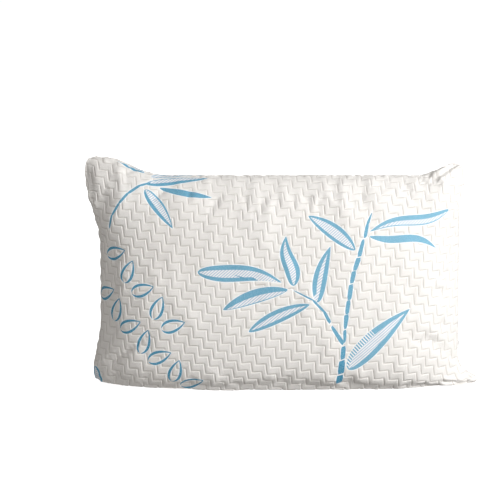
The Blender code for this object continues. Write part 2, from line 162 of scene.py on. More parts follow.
class PillowZipSettings(bpy.types.PropertyGroup):
    """Sizes and colours of the zip, the sewing thread and the label."""

    coil_pitch: FloatProperty(name="Coil Pitch", default=0.0015, subtype="DISTANCE", unit="LENGTH",
                              description="Distance between two turns of the coil")
    wire: FloatProperty(name="Coil Wire", default=0.00032, subtype="DISTANCE", unit="LENGTH",
                        description="Radius of the coil's nylon wire")
    stitch_length: FloatProperty(name="Topstitch Length", default=0.0032, subtype="DISTANCE", unit="LENGTH",
                                 description="Length of one stitch beside the zip")
    overlock_pitch: FloatProperty(name="Overlock Pitch", default=0.0024, subtype="DISTANCE", unit="LENGTH",
                                  description="Distance between two loops of overlocking")
    tape_colour: FloatVectorProperty(name="Tape", subtype="COLOR", size=3, default=(0.82, 0.82, 0.81),
                                     description="Colour of the woven zip tape")
    thread_colour: FloatVectorProperty(name="Thread", subtype="COLOR", size=3, default=(0.86, 0.86, 0.85),
                                       description="Colour of the sewing thread")
    metal_colour: FloatVectorProperty(name="Metal", subtype="COLOR", size=3, default=(0.74, 0.745, 0.75),
                                      description="Colour of the slider and the stops")
    label_colour: FloatVectorProperty(name="Label", subtype="COLOR", size=3, default=(0.88, 0.88, 0.875),
                                      description="Colour of the satin label")


class PillowStageSettings(bpy.types.PropertyGroup):
    """Sizes of the stage, its lights and the camera."""

    elevation: FloatProperty(name="Camera Elevation", default=math.radians(15.0), subtype="ANGLE",
                             description="Height of the camera's line of sight above level")
    distance: FloatProperty(name="Camera Distance", default=4.6, subtype="DISTANCE", unit="LENGTH",
                            description="From the camera to the pillow")
    field: FloatProperty(name="Field Width", default=0.9287, subtype="DISTANCE", unit="LENGTH",
                         description="Width that the camera sees at the pillow")
    aim_height: FloatProperty(name="Aim Height", default=0.2475, subtype="DISTANCE", unit="LENGTH",
                              description="Height of the point in the middle of the picture")
    aim_side: FloatProperty(name="Aim Side", default=-0.061, subtype="DISTANCE", unit="LENGTH",
                            description="Sideways place of the point in the middle of the picture")
    key_power: FloatProperty(name="Key Light", default=53.0, unit="POWER",
                             description="Power of the large light at the upper right")
    fill_power: FloatProperty(name="Surround", default=0.22,
                              description="Strength of the soft light from all round")


# ---------------------------------------------------------------- the sewn shape


def smooth(t):
    """A step from 0 to 1 with level ends: three t squared less two t cubed."""
    t = np.clip(t, 0.0, 1.0)
    return t * t * (3.0 - 2.0 * t)


def outline(u, v, inset, ears):
    """x and z on the seam plane: a straight blend between four sides, whose ends flare into ears."""
    left = inset - LEFT_REACH - ears * LEFT_EAR_FLARE * smooth((v - 0.15) / 0.85)
    left = left - ears * LEFT_FOOT_FLARE * smooth((-v - 0.4) / 0.6)
    right = RIGHT_REACH - inset + ears * RIGHT_EAR_FLARE * smooth((v - 0.55) / 0.35)
    right = right + ears * RIGHT_FOOT_EAR * np.clip((-v - 0.66) / 0.34, 0.0, 1.0) ** 3
    top = HEIGHT - inset + ears * LEFT_EAR_RISE * smooth((-u - 0.55) / 0.45)
    top = top + ears * RIGHT_EAR_RISE * smooth((u - 0.74) / 0.25)
    foot = inset - SINK * (1.0 - np.abs(u) ** 4)
    corner = EAR_ROUND * np.abs(u * v) ** 16
    x = 0.5 * (left + right) + 0.5 * u * (right - left) - np.sign(u) * corner
    z = foot + (top - foot) * 0.5 * (v + 1.0) - np.sign(v) * corner
    return x, z


def depth(u, v, inset):
    """Half thickness: a product of two rounded falls, towards the sides and towards top and foot."""
    crown = np.sqrt(1.0 - np.abs(u) ** SIDE_POWER) * np.sqrt(1.0 - np.abs(v) ** EDGE_POWER)
    return (HALF_DEPTH * (1.0 - SLUMP * v) - inset) * crown


def slot(u, z):
    """How far the panels stand apart for the zip: a level stretch with a smooth step at each end."""
    low = (z - (ZIP_LOW - SLOT_PAST - SLOT_TAPER)) / SLOT_TAPER
    high = ((ZIP_LOW + ZIP_RISE + SLOT_PAST + SLOT_TAPER) - z) / SLOT_TAPER
    return ZIP_SLOT * smooth(low) * smooth(high) * smooth((u - 0.9) / 0.1)


def skin(u, v, side, plane_inset=0.0, depth_inset=0.0, floor=0.0, ears=1.0):
    """Points of one layer: the outline leans back by the slope, and stands off it by the depth."""
    x, z = outline(u, v, plane_inset, ears)
    z = np.maximum(z, floor)
    d = np.hypot(depth(u, v, depth_inset), ears * slot(u, z)) + 0.5 * GAP
    return np.stack([x, z * SLOPE + side * d, z], axis=-1) - PLAN_CENTRE


def height_share(z):
    """The value of v at height z on the right side of the cover."""
    return 2.0 * z / (HEIGHT + RIGHT_EAR_RISE) - 1.0


def zip_x(reach, z, inset):
    """Where the layer drawn in by inset lies, outwards, at a distance from the middle of the zip."""
    share = reach / depth(0.0, height_share(z), inset)
    fall = 1.0 - (1.0 - share * share) ** (1.0 / SIDE_POWER)
    return RIGHT_REACH - inset - 0.5 * (LEFT_REACH + RIGHT_REACH) * fall


def on_zip(a, n, x):
    """Points a along the zip, n behind its middle and x outside the cover's straight side."""
    foot = np.array([RIGHT_REACH, ZIP_LOW * SLOPE, ZIP_LOW]) - PLAN_CENTRE
    a, n, x = np.broadcast_arrays(a, n, x)
    return foot + a[..., None] * ALONG + n[..., None] * ACROSS + x[..., None] * OUTWARD


def even_lines(steps, across, **layer):
    """Values from -1 to 1 at equal lengths along the layer's middle line, across it or up it."""
    dense = np.sin(np.linspace(-0.5, 0.5, 6001) * math.pi)
    level = np.zeros_like(dense)
    line = skin(dense, level, -1, **layer) if across else skin(level, dense, -1, **layer)
    run = np.append(0.0, np.cumsum(np.linalg.norm(np.diff(line, axis=0), axis=1)))
    lines = np.interp(np.linspace(0.0, run[-1], steps + 1), run, dense)
    lines[[0, -1]] = -1.0, 1.0
    return lines


def run_length(points, axis, coordinate, origin):
    """Length along the grid's lines on one axis, counted from where a coordinate passes origin."""
    steps = np.linalg.norm(np.diff(points, axis=axis), axis=2)
    run = np.cumsum(steps, axis=axis)
    run = np.insert(run, 0, 0.0, axis=axis)
    if axis == 0:
        run, coordinate = run.T, coordinate.T
    after = np.argmax(coordinate > origin, axis=1)
    rows = np.arange(len(after))
    low, high = coordinate[rows, after - 1], coordinate[rows, after]
    share = (origin - low) / (high - low)
    start = run[rows, after - 1] + share * (run[rows, after] - run[rows, after - 1])
    run = run - start[:, None]
    return run.T if axis == 0 else run


def normals(points, side):
    """Unit normals of a grid, from the cross product of its two directions, towards that side."""
    across = np.gradient(points, axis=1)
    up = np.gradient(points, axis=0)
    normal = np.cross(across, up) * -side
    return normal / np.maximum(np.linalg.norm(normal, axis=-1, keepdims=True), 1e-9)


def ripples(s, t, size, seed, waves=14):
    """Smooth unevenness of about unit height: a sum of plane waves of fixed directions and phases."""
    draw = np.random.default_rng(seed)
    angle = draw.uniform(0.0, math.pi, waves)
    pace = 2.0 * math.pi / (size * draw.uniform(0.7, 1.6, waves))
    phase = draw.uniform(0.0, 2.0 * math.pi, waves)
    total = np.zeros_like(s)
    for k in range(waves):
        total += np.sin(pace[k] * (s * math.cos(angle[k]) + t * math.sin(angle[k])) + phase[k])
    return total * math.sqrt(2.0 / waves)


# ---------------------------------------------------------------- quilting and print

# The quilting repeats at these two steps, and each repeat holds one level groove and one riser.
QUILT_STEPS = np.array([[26.8, -3.9], [-8.3, -15.0]]) * MM
GROOVES = (((-9.4, -0.7), (7.4, 0.5)), ((7.4, 0.5), (9.1, -19.6)))
BASIN_SPREAD = 3.2  # reach of the wide basin, in reaches of the groove's flank
RIDGE_OFF, RIDGE_REACH = 2.3 * MM, 1.3 * MM
OUTSIDE = -0.02  # stands for a distance well outside every printed area


def quilting(s, t, reach):
    """Groove strength from 0 to 1, its wide basin, and the ridge beside each riser.

    Each is a bell curve of the distance to the nearest straight groove among the repeats around.
    """
    back = np.linalg.inv(QUILT_STEPS.T)
    whole = np.floor(back[0, 0] * s + back[0, 1] * t), np.floor(back[1, 0] * s + back[1, 1] * t)
    groove, basin, ridge = np.zeros_like(s), np.zeros_like(s), np.zeros_like(s)
    for across in (-1, 0, 1):
        for down in (-1, 0, 1, 2):
            a, b = whole[0] + across, whole[1] + down
            x = s - a * QUILT_STEPS[0, 0] - b * QUILT_STEPS[1, 0]
            y = t - a * QUILT_STEPS[0, 1] - b * QUILT_STEPS[1, 1]
            for riser, (start, end) in enumerate(GROOVES):
                p, q = np.array(start) * MM, np.array(end) * MM
                run = q - p
                share = ((x - p[0]) * run[0] + (y - p[1]) * run[1]) / (run @ run)
                held = np.clip(share, 0.0, 1.0)
                off_x, off_y = x - p[0] - held * run[0], y - p[1] - held * run[1]
                far = off_x * off_x + off_y * off_y
                strength = 1.0 - 0.35 * np.abs(2.0 * held - 1.0) ** 3
                groove = np.maximum(groove, strength * np.exp(-far / reach**2))
                basin = np.maximum(basin, strength * np.exp(-far / (BASIN_SPREAD * reach) ** 2))
                if riser:
                    beside = np.exp(-(((off_x + RIDGE_OFF) / RIDGE_REACH) ** 2))
                    inside = smooth(share / 0.2) * smooth((1.0 - share) / 0.2)
                    ridge = np.maximum(ridge, beside * inside * (np.abs(share - 0.5) < 0.5))
    return groove, basin, ridge


def leaf(base, tip, width, bend=0.0, sway=0.0, left=2.0, right=2.0, left_from=0.0, right_from=0.0,
         ticks=0.0, tone=0.3, hollow=False, full=0.38):
    """One printed leaf, in millimetres. Left and right are its borders, seen from base to tip.

    Full is how far along it is widest, as a share of its length, and left_from and right_from are where
    its borders begin. Ticks is the share of its length that has short strokes for a left border. A
    hollow leaf has no hatching, and tone goes from the lighter ink at 0 to the darker at 1.
    """
    return dict(base=base, tip=tip, width=width, bend=bend, sway=sway, left=left, right=right,
                left_from=left_from, right_from=right_from, ticks=ticks, tone=tone, hollow=hollow,
                full=full)


MAIN_LEAVES = (
    leaf((156, 118), (309, 150), 20, bend=2, sway=5.5, left=9, right=2.2, tone=0.05, full=0.58),
    leaf((155, 109), (282, 82), 14, bend=8, sway=-5, left=20, right=20, tone=0.05, full=0.45),
    leaf((129, 85), (44, 148), 28, bend=-4, left=6, right=7, tone=0.3, full=0.46),
    leaf((60, -9), (84, 92), 25, bend=5, left=8.5, right=8.5, left_from=0.16, tone=0.3),
    leaf((17, 21), (3, 111), 28, bend=2, sway=-3.5, left=8, right=8, tone=0.35),
    leaf((-5, 27), (-158, 45), 31, bend=-7.5, sway=-2.9, left=7.5, right=9, left_from=0.36, tone=0.35,
         full=0.62),
    leaf((6, 14), (-112, -23), 25, bend=-6, left=1.8, right=12.5, tone=0.35, full=0.48),
    leaf((46, -13), (-65, -63), 24, bend=-4, left=6.5, right=7.5, tone=0.35, full=0.52),
    leaf((116, -132), (230, -25), 39, bend=4, left=11, right=9, ticks=0.5, tone=0.2, full=0.36),
)
CORNER_LEAVES = (
    leaf((-257, 195), (-204, 124), 23, bend=2, left=3.6, right=7, tone=0.55),
    leaf((-229, 202), (-133, 185), 13, bend=-2, left=20, right=20, tone=0.5, full=0.45),
    leaf((-255, 207), (-140, 227), 17, bend=3, left=1.7, right=7, tone=0.6),
    leaf((-246, 226), (-146, 242), 12, bend=4, left=1.6, right=1.6, tone=0.3),
    leaf((-258, 234), (-314, 250), 12, bend=-1, left=5.5, right=1.8, tone=0.6),
    leaf((-366, -150), (-338, -200), 20, left=4, right=8, tone=0.8),
)
# Stalk pieces, from foot to head: two ends and the width at each, in millimetres, and the tone.
STALKS = (
    ((100, -163), (103, -146), 11.0, 11.5, 1.0),
    ((103.5, -141), (106, -117), 11.5, 11.0, 0.9),
    ((106.5, -113), (108.5, -91), 8.5, 8.5, 0.75),
    ((110, -82), (110.5, -61), 4.5, 6.5, 0.55),
    ((111, -57), (113.5, -33), 6.0, 9.0, 0.5),
    ((114, -30), (117, -7), 7.5, 7.5, 0.45),
    ((118, -4), (121.5, 22), 8.0, 8.5, 0.45),
    ((122.5, 26), (127, 46), 7.5, 8.5, 0.4),
    ((128, 49), (135.5, 70), 7.5, 9.0, 0.4),
    ((136.5, 74), (144, 103), 8.0, 6.0, 0.4),
    ((147, 108), (152, 132), 6.5, 6.0, 0.45),
    ((152, 132), (161, 155), 6.0, 0.8, 0.45),
    ((107, -85), (87, -54), 8.0, 6.0, 0.5),
    ((83, -46), (72, -25), 6.5, 5.0, 0.5),
    ((72, -26), (51, -4), 5.0, 3.6, 0.5),
    ((52, -5), (14, 14), 3.6, 1.4, 0.6),
    ((-57, 31), (-95, 41), 1.8, 1.2, 0.5),
    ((-329, 117), (-321, 144), 3.0, 4.0, 0.75),
    ((-321, 143), (-306, 167), 4.0, 4.4, 0.7),
    ((-307, 166), (-289, 187), 4.4, 4.8, 0.65),
    ((-290, 186), (-266, 203), 4.8, 4.8, 0.6),
    ((-267, 202), (-246, 211), 4.8, 3.0, 0.6),
)
MAIN_STALKS = STALKS[:17]
# Rows of plain leaves: the first and last leaf's middle, their number, and their length.
BORDERS = (
    ((-318, 72), (-203, -54), 5, 46.0),
    ((-345, -6), (-170, -166), 7, 47.0),
)
BORDER_TURN = 24.0  # degrees by which a leaf leans from square to its row


def border_rows():
    """Two slanting rows of plain outlined leaves, each leaf turned the other way to the one before."""
    rows = []
    for start, end, count, tall in BORDERS:
        start, end = np.array(start, float), np.array(end, float)
        run = (end - start) / np.linalg.norm(end - start)
        for k in range(count):
            middle = start + (end - start) * k / (count - 1)
            turn = math.radians(90.0 + (BORDER_TURN if k % 2 else -BORDER_TURN))
            stand = np.array([run[0] * math.cos(turn) - run[1] * math.sin(turn),
                              run[0] * math.sin(turn) + run[1] * math.cos(turn)])
            base, tip = middle - 0.5 * tall * stand, middle + 0.5 * tall * stand
            rows.append(leaf(tuple(base), tuple(tip), 25, left=4.8, right=4.8, tone=0.95, hollow=True))
    return tuple(rows)


def print_fields(s, t, leaves, stalks):
    """Distances inside the printed areas, in metres and negative outside, and the print's tone.

    A leaf lies along a bent line from base to tip. Its half width there is a power of the way along
    times a power of what is left, and a border is the part nearer to the edge than its own width.
    A stalk piece is a bar whose two ends slant.
    """
    nothing = np.full_like(s, OUTSIDE)
    fields = {name: nothing.copy() for name in ("ink", "pale", "ticks", "figure")}
    fields["along"], fields["tone"] = np.zeros_like(s), np.full_like(s, 0.4)
    s, t = s / MM, t / MM

    def place(base, tip, margin):
        """The points near a line, their share of the way along it, and how far they lie to its left."""
        base, run = np.array(base, float), np.array(tip, float) - np.array(base, float)
        length = math.hypot(*run)
        near = np.hypot(s - base[0] - 0.5 * run[0], t - base[1] - 0.5 * run[1]) < 0.5 * length + margin
        x = ((s[near] - base[0]) * run[0] + (t[near] - base[1]) * run[1]) / length**2
        y = ((t[near] - base[1]) * run[0] - (s[near] - base[0]) * run[1]) / length
        return near, x, y, length

    def join(name, near, values):
        """Adds an area to a field: the larger of the two distances."""
        fields[name][near] = np.maximum(fields[name][near], values * MM)

    for one in leaves:
        near, x, y, length = place(one["base"], one["tip"], one["width"] + 8.0)
        held = np.clip(x, 0.0, 1.0)
        full = one["full"]
        share = ((held / full) ** full * ((1.0 - held) / (1.0 - full)) ** (1.0 - full)) ** 1.45
        half = 0.5 * one["width"] * share
        middle = one["bend"] * 4.0 * held * (1.0 - held) + one["sway"] * np.sin(2.0 * math.pi * held)
        past = length * np.maximum(np.maximum(-x, x - 1.0), 0.0)
        from_left, from_right = half - (y - middle) - past, half + (y - middle) - past
        inside = np.minimum(from_left, from_right)
        taper = 0.3 + 0.7 * share
        left = one["left"] * taper * smooth((held - one["left_from"] + 0.1) / 0.1)
        right = one["right"] * taper * smooth((held - one["right_from"] + 0.1) / 0.1)
        ticked = x < one["ticks"]
        solid = np.where(ticked, right - from_right, np.maximum(left - from_left, right - from_right))
        ring = np.minimum(inside, solid)
        join("ink", near, ring)
        join("figure", near, ring if one["hollow"] else inside)
        if not one["hollow"]:
            join("pale", near, np.minimum(inside, np.minimum(from_left - left, from_right - right)))
        if one["ticks"]:
            join("ticks", near, np.minimum(np.minimum(inside, left - from_left), (one["ticks"] - x) * length))
        best = near.copy()
        best[near] = inside > -4.0
        fields["along"][best] = (x * length * MM)[inside > -4.0]
        fields["tone"][best] = one["tone"]
    for base, tip, foot_width, head_width, tone in stalks:
        near, x, y, length = place(base, tip, 12.0)
        held = np.clip(x, 0.0, 1.0)
        half = 0.5 * (foot_width + (head_width - foot_width) * held)
        rounding = 1.2 * (2.0 * held - 1.0) ** 6
        ends = 1.1 + np.minimum(length * x + 0.45 * y, length * (1.0 - x) - 0.45 * y)
        inside = np.minimum(half - rounding - np.abs(y), ends)
        join("ink", near, inside)
        join("figure", near, inside)
        best = near.copy()
        best[near] = inside > -3.0
        fields["tone"][best] = tone
        fields["along"][best] = (x * length * MM)[inside > -3.0]
    return fields


# ---------------------------------------------------------------- mesh building


def grid_quads(rows, columns, start=0, flip=False):
    """Quads of a grid listed row by row, as an index array."""
    a = (np.arange(rows - 1)[:, None] * columns + np.arange(columns - 1)[None, :]).reshape(-1) + start
    quads = np.stack([a, a + 1, a + columns + 1, a + columns], axis=1)
    return quads[:, ::-1] if flip else quads


def grid_ring(rows, columns, start=0):
    """Indices round the edge of such a grid, in order."""
    low = np.arange(columns)
    right = np.arange(1, rows) * columns + columns - 1
    high = (rows - 1) * columns + np.arange(columns - 2, -1, -1)
    left = np.arange(rows - 2, 0, -1) * columns
    return np.concatenate([low, right, high, left]) + start


def fill_mesh(name, points, face_groups, uv_maps=None, fields=None):
    """A mesh object from points and arrays of faces. Each UV map gives one array for each group."""
    mesh = bpy.data.meshes.new(name)
    loops = np.concatenate([group.reshape(-1) for group in face_groups]).astype(np.int32)
    sizes = np.concatenate([np.full(len(group), group.shape[1]) for group in face_groups])
    mesh.vertices.add(len(points))
    mesh.vertices.foreach_set("co", np.asarray(points, np.float32).reshape(-1))
    mesh.loops.add(len(loops))
    mesh.loops.foreach_set("vertex_index", loops)
    mesh.polygons.add(len(sizes))
    starts = np.append(0, np.cumsum(sizes)[:-1]).astype(np.int32)
    mesh.polygons.foreach_set("loop_start", starts)
    mesh.update(calc_edges=True)
    mesh.validate()
    mesh.shade_smooth()
    for uv_name, maps in (uv_maps or {}).items():
        layer = mesh.uv_layers.new(name=uv_name)
        flat = [uv[group.reshape(-1)] for uv, group in zip(maps, face_groups)]
        layer.data.foreach_set("uv", np.concatenate(flat).astype(np.float32).reshape(-1))
    for field, values in (fields or {}).items():
        attribute = mesh.attributes.new(field, "FLOAT", "POINT")
        attribute.data.foreach_set("value", np.asarray(values, np.float32))
    piece = bpy.data.objects.new(name, mesh)
    bpy.context.scene.collection.objects.link(piece)
    return piece


def chart(rows, columns, low, high):
    """UV corners of a grid laid flat as an upright rectangle between two corners of the unit square."""
    x, y = np.meshgrid(np.linspace(low[0], high[0], columns), np.linspace(low[1], high[1], rows))
    return np.stack([x, y], axis=-1).reshape(-1, 2)


def two_sided(name, outer, inner, side, fabric, inner_fabric, fields=None):
    """A closed layer between a fine outer grid and an inner grid with whole times fewer steps.

    The rims are joined by a strip of triangles, fans from each inner point to its outer stretch.
    Charts: the outer side fills most of the unit square, the rim a thin frame round it, and the
    inner side a band above.
    """
    rows, columns = outer.shape[:2]
    inner_rows, inner_columns = inner.shape[:2]
    count, inner_count = rows * columns, inner_rows * inner_columns
    step = (rows - 1) // (inner_rows - 1)
    flip = side > 0
    faces = [grid_quads(rows, columns, 0, flip), grid_quads(inner_rows, inner_columns, count, not flip)]
    ring, inner_ring = grid_ring(rows, columns), grid_ring(inner_rows, inner_columns, count)
    if step == 1:
        rim = [np.stack([np.roll(ring, -1), ring, inner_ring, np.roll(inner_ring, -1)], axis=1)]
    else:
        each = np.arange(len(ring))
        owner = inner_ring[((each + step // 2) // step) % len(inner_ring)]
        half_way = ring[np.arange(len(inner_ring)) * step + step // 2]
        rim = [np.stack([np.roll(ring, -1), ring, owner], axis=1),
               np.stack([inner_ring, np.roll(inner_ring, -1), half_way], axis=1)]
    faces += [part[:, ::-1] if flip else part for part in rim]
    margin, split = 0.004, 0.88
    flat = chart(rows, columns, (margin * 2, margin * 2), (1.0 - margin * 2, split - margin * 2))
    inner_flat = chart(inner_rows, inner_columns, (margin, split + margin), (1.0 - margin, 1.0 - margin))
    frame_flat = chart(inner_rows, inner_columns, (margin, margin), (1.0 - margin, split - margin))
    main, rim_map = np.concatenate([flat, inner_flat]), np.concatenate([flat, frame_flat])
    cloth = np.concatenate([fabric.reshape(-1, 2), inner_fabric.reshape(-1, 2)])
    values = {}
    for field, value in (fields or {}).items():
        quiet = OUTSIDE if field in ("ink", "pale", "ticks", "figure") else 0.0
        values[field] = np.concatenate([value.reshape(-1), np.full(inner_count, quiet)])
    points = np.concatenate([outer.reshape(-1, 3), inner.reshape(-1, 3)])
    maps = {"OFBake": [main, main] + [rim_map] * len(rim), "Fabric": [cloth] * len(faces)}
    return fill_mesh(name, points, faces, maps, values)


def tube(name, rings, closed=False):
    """A tube through rings of points, an array of rings by sides by 3, with its ends capped."""
    count, sides = rings.shape[:2]
    around = np.arange(sides)
    after = np.roll(around, -1)
    stops = count if closed else count - 1
    starts = np.arange(stops)[:, None] * sides
    nexts = (np.arange(1, stops + 1) % count)[:, None] * sides
    walls = np.stack([starts + around, starts + after, nexts + after, nexts + around], axis=-1).reshape(-1, 4)
    faces = [walls]
    if not closed:
        faces += [around[None, ::-1], (count - 1) * sides + around[None, :]]
    piece = fill_mesh(name, rings.reshape(-1, 3), faces)
    face_outwards(piece)
    return piece


def face_outwards(piece):
    """Turns a closed piece's faces the other way if its signed volume is negative."""
    build = bmesh.new()
    build.from_mesh(piece.data)
    if build.calc_volume(signed=True) < 0.0:
        bmesh.ops.reverse_faces(build, faces=build.faces)
        build.to_mesh(piece.data)
    build.free()


def dress(piece, material, body, slot_name, *nodes):
    """Gives a piece its material and body, and lets it stand for its CAD nodes. The slot_name argument is not
    used.
    """
    piece.data.materials.clear()
    piece.data.materials.append(material)
    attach(piece, body)
    if nodes:
        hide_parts(*nodes)
    return piece


# ---------------------------------------------------------------- shader building


def feed(tree, node, values):
    """Sets a node's inputs to values, or links them where the value is another node's socket."""
    for key, value in values.items():
        if isinstance(value, bpy.types.NodeSocket):
            tree.links.new(value, node.inputs[key])
        else:
            node.inputs[key].default_value = value


def add(tree, kind, values=None, **settings):
    """A shader node with its settings, and its inputs set to values or linked to other sockets."""
    node = tree.nodes.new(kind)
    for name, value in settings.items():
        setattr(node, name, value)
    feed(tree, node, values or {})
    return node


def maths(tree, operation, *values):
    """The result of a Math node."""
    return add(tree, "ShaderNodeMath", dict(enumerate(values)), operation=operation).outputs[0]


def blend_colour(tree, share, *colours):
    """The result of a colour mix: the first colour at a share of 0, and the second at 1."""
    node = add(tree, "ShaderNodeMix", {0: share}, data_type="RGBA", blend_type="MIX")
    for key, colour in zip((6, 7), colours):
        linked = isinstance(colour, bpy.types.NodeSocket)
        feed(tree, node, {key: colour if linked else (*colour, 1.0)})
    return node.outputs[2]


def ramp(tree, value, low, high, out_low=0.0, out_high=1.0):
    """A smooth step of a value between two limits."""
    node = add(tree, "ShaderNodeMapRange", {0: value, 1: low, 2: high, 3: out_low, 4: out_high},
               interpolation_type="SMOOTHSTEP")
    return node.outputs[0]


def group(name, inputs, outputs):
    """A new shader node group with its sockets, and its input and output nodes."""
    tree = bpy.data.node_groups.new(name, "ShaderNodeTree")
    for label, kind, default in inputs:
        socket = tree.interface.new_socket(label, in_out="INPUT", socket_type=kind)
        if default is not None:
            socket.default_value = default
    for label, kind in outputs:
        tree.interface.new_socket(label, in_out="OUTPUT", socket_type=kind)
    return tree, tree.nodes.new("NodeGroupInput").outputs, tree.nodes.new("NodeGroupOutput").inputs


def knit_group():
    """Knitted loops: slanting legs that meet in columns, as two waves of the two directions."""
    if "Knit Loops" in bpy.data.node_groups:
        return bpy.data.node_groups["Knit Loops"]
    tree, given, out = group("Knit Loops",
                             [("Vector", "NodeSocketVector", None), ("Stitch", "NodeSocketFloat", 0.0011)],
                             [("Height", "NodeSocketFloat"), ("Shade", "NodeSocketFloat")])
    split = add(tree, "ShaderNodeSeparateXYZ", {0: given["Vector"]})
    column = maths(tree, "DIVIDE", split.outputs[0], given["Stitch"])
    row = maths(tree, "DIVIDE", split.outputs[1], given["Stitch"])
    leg = maths(tree, "PINGPONG", column, 0.5)
    slant = maths(tree, "ADD", row, leg)
    wave = maths(tree, "SINE", maths(tree, "MULTIPLY", slant, 2.0 * math.pi * 1.25))
    rise = maths(tree, "SINE", maths(tree, "MULTIPLY", leg, 2.0 * math.pi))
    total = maths(tree, "ADD", maths(tree, "MULTIPLY", wave, 0.5), maths(tree, "MULTIPLY", rise, 0.7))
    fuzz = add(tree, "ShaderNodeTexNoise", {"Vector": given["Vector"], "Scale": 900.0, "Detail": 3.0})
    tree.links.new(maths(tree, "ADD", total, maths(tree, "MULTIPLY", fuzz.outputs[0], 0.6)), out["Height"])
    # Shade is 1 on the loops' raised tops: the knit material paints a highlight there with it, and makes them
    # smoother.
    tree.links.new(ramp(tree, total, -0.5, 1.0, 0.0, 1.0), out["Shade"])
    return tree


def weave_group():
    """Plain weave: threads of the two directions that rise and fall by turns."""
    if "Plain Weave" in bpy.data.node_groups:
        return bpy.data.node_groups["Plain Weave"]
    tree, given, out = group("Plain Weave",
                             [("Vector", "NodeSocketVector", None), ("Pitch", "NodeSocketFloat", 0.0005)],
                             [("Height", "NodeSocketFloat"), ("Shade", "NodeSocketFloat")])
    split = add(tree, "ShaderNodeSeparateXYZ", {0: given["Vector"]})
    turns = [maths(tree, "MULTIPLY", maths(tree, "DIVIDE", part, given["Pitch"]), math.pi)
             for part in split.outputs[:2]]
    warp, weft = [maths(tree, "SINE", turn) for turn in turns]
    over = maths(tree, "MULTIPLY", warp, weft)
    total = maths(tree, "ADD", over, maths(tree, "MULTIPLY", maths(tree, "ABSOLUTE", warp), 0.5))
    slub = add(tree, "ShaderNodeTexNoise", {"Vector": given["Vector"], "Scale": 300.0, "Detail": 2.0})
    tree.links.new(maths(tree, "ADD", total, slub.outputs[0]), out["Height"])
    tree.links.new(ramp(tree, over, -0.8, 0.8), out["Shade"])
    return tree


def mottle_group():
    """Soft unevenness of a surface at two sizes, for handling marks and slight colour change."""
    if "Mottling" in bpy.data.node_groups:
        return bpy.data.node_groups["Mottling"]
    tree, given, out = group("Mottling",
                             [("Vector", "NodeSocketVector", None), ("Scale", "NodeSocketFloat", 14.0)],
                             [("Broad", "NodeSocketFloat"), ("Fine", "NodeSocketFloat")])
    vector, scale = given["Vector"], given["Scale"]
    broad = add(tree, "ShaderNodeTexNoise", {"Vector": vector, "Scale": scale, "Detail": 2.0})
    fine_scale = maths(tree, "MULTIPLY", scale, 18.0)
    fine = add(tree, "ShaderNodeTexNoise", {"Vector": vector, "Scale": fine_scale, "Detail": 3.0})
    tree.links.new(ramp(tree, broad.outputs[0], 0.3, 0.7), out["Broad"])
    tree.links.new(ramp(tree, fine.outputs[0], 0.3, 0.7), out["Fine"])
    return tree


def new_material(name):
    """An empty material with a Principled shader: its tree, the shader and object coordinates."""
    material = bpy.data.materials.new(name)
    material.use_nodes = True
    tree = material.node_tree
    shader = tree.nodes["Principled BSDF"]
    place = add(tree, "ShaderNodeTexCoord").outputs["Object"]
    return material, tree, shader, place


def use_group(tree, made, values):
    """A group placed in a material with its own values."""
    return add(tree, "ShaderNodeGroup", values, node_tree=made).outputs


def darkened(colour, share):
    """A colour with each part times a share."""
    return tuple(share * part for part in colour)


def finish_surface(tree, shader, base, roughness):
    """Feeds the base colour and the roughness."""
    tree.links.new(base, shader.inputs["Base Color"])
    tree.links.new(roughness, shader.inputs["Roughness"])


def roughen(tree, shader, height, distance, strength=0.6):
    """Feeds a height to the shader's normal through a Bump node."""
    bump = add(tree, "ShaderNodeBump", {"Height": height, "Distance": distance, "Strength": strength})
    tree.links.new(bump.outputs[0], shader.inputs["Normal"])


def set_shader(shader, **values):
    """Constant values on the shader's own sockets."""
    for name, value in values.items():
        shader.inputs[name.replace("_", " ")].default_value = value


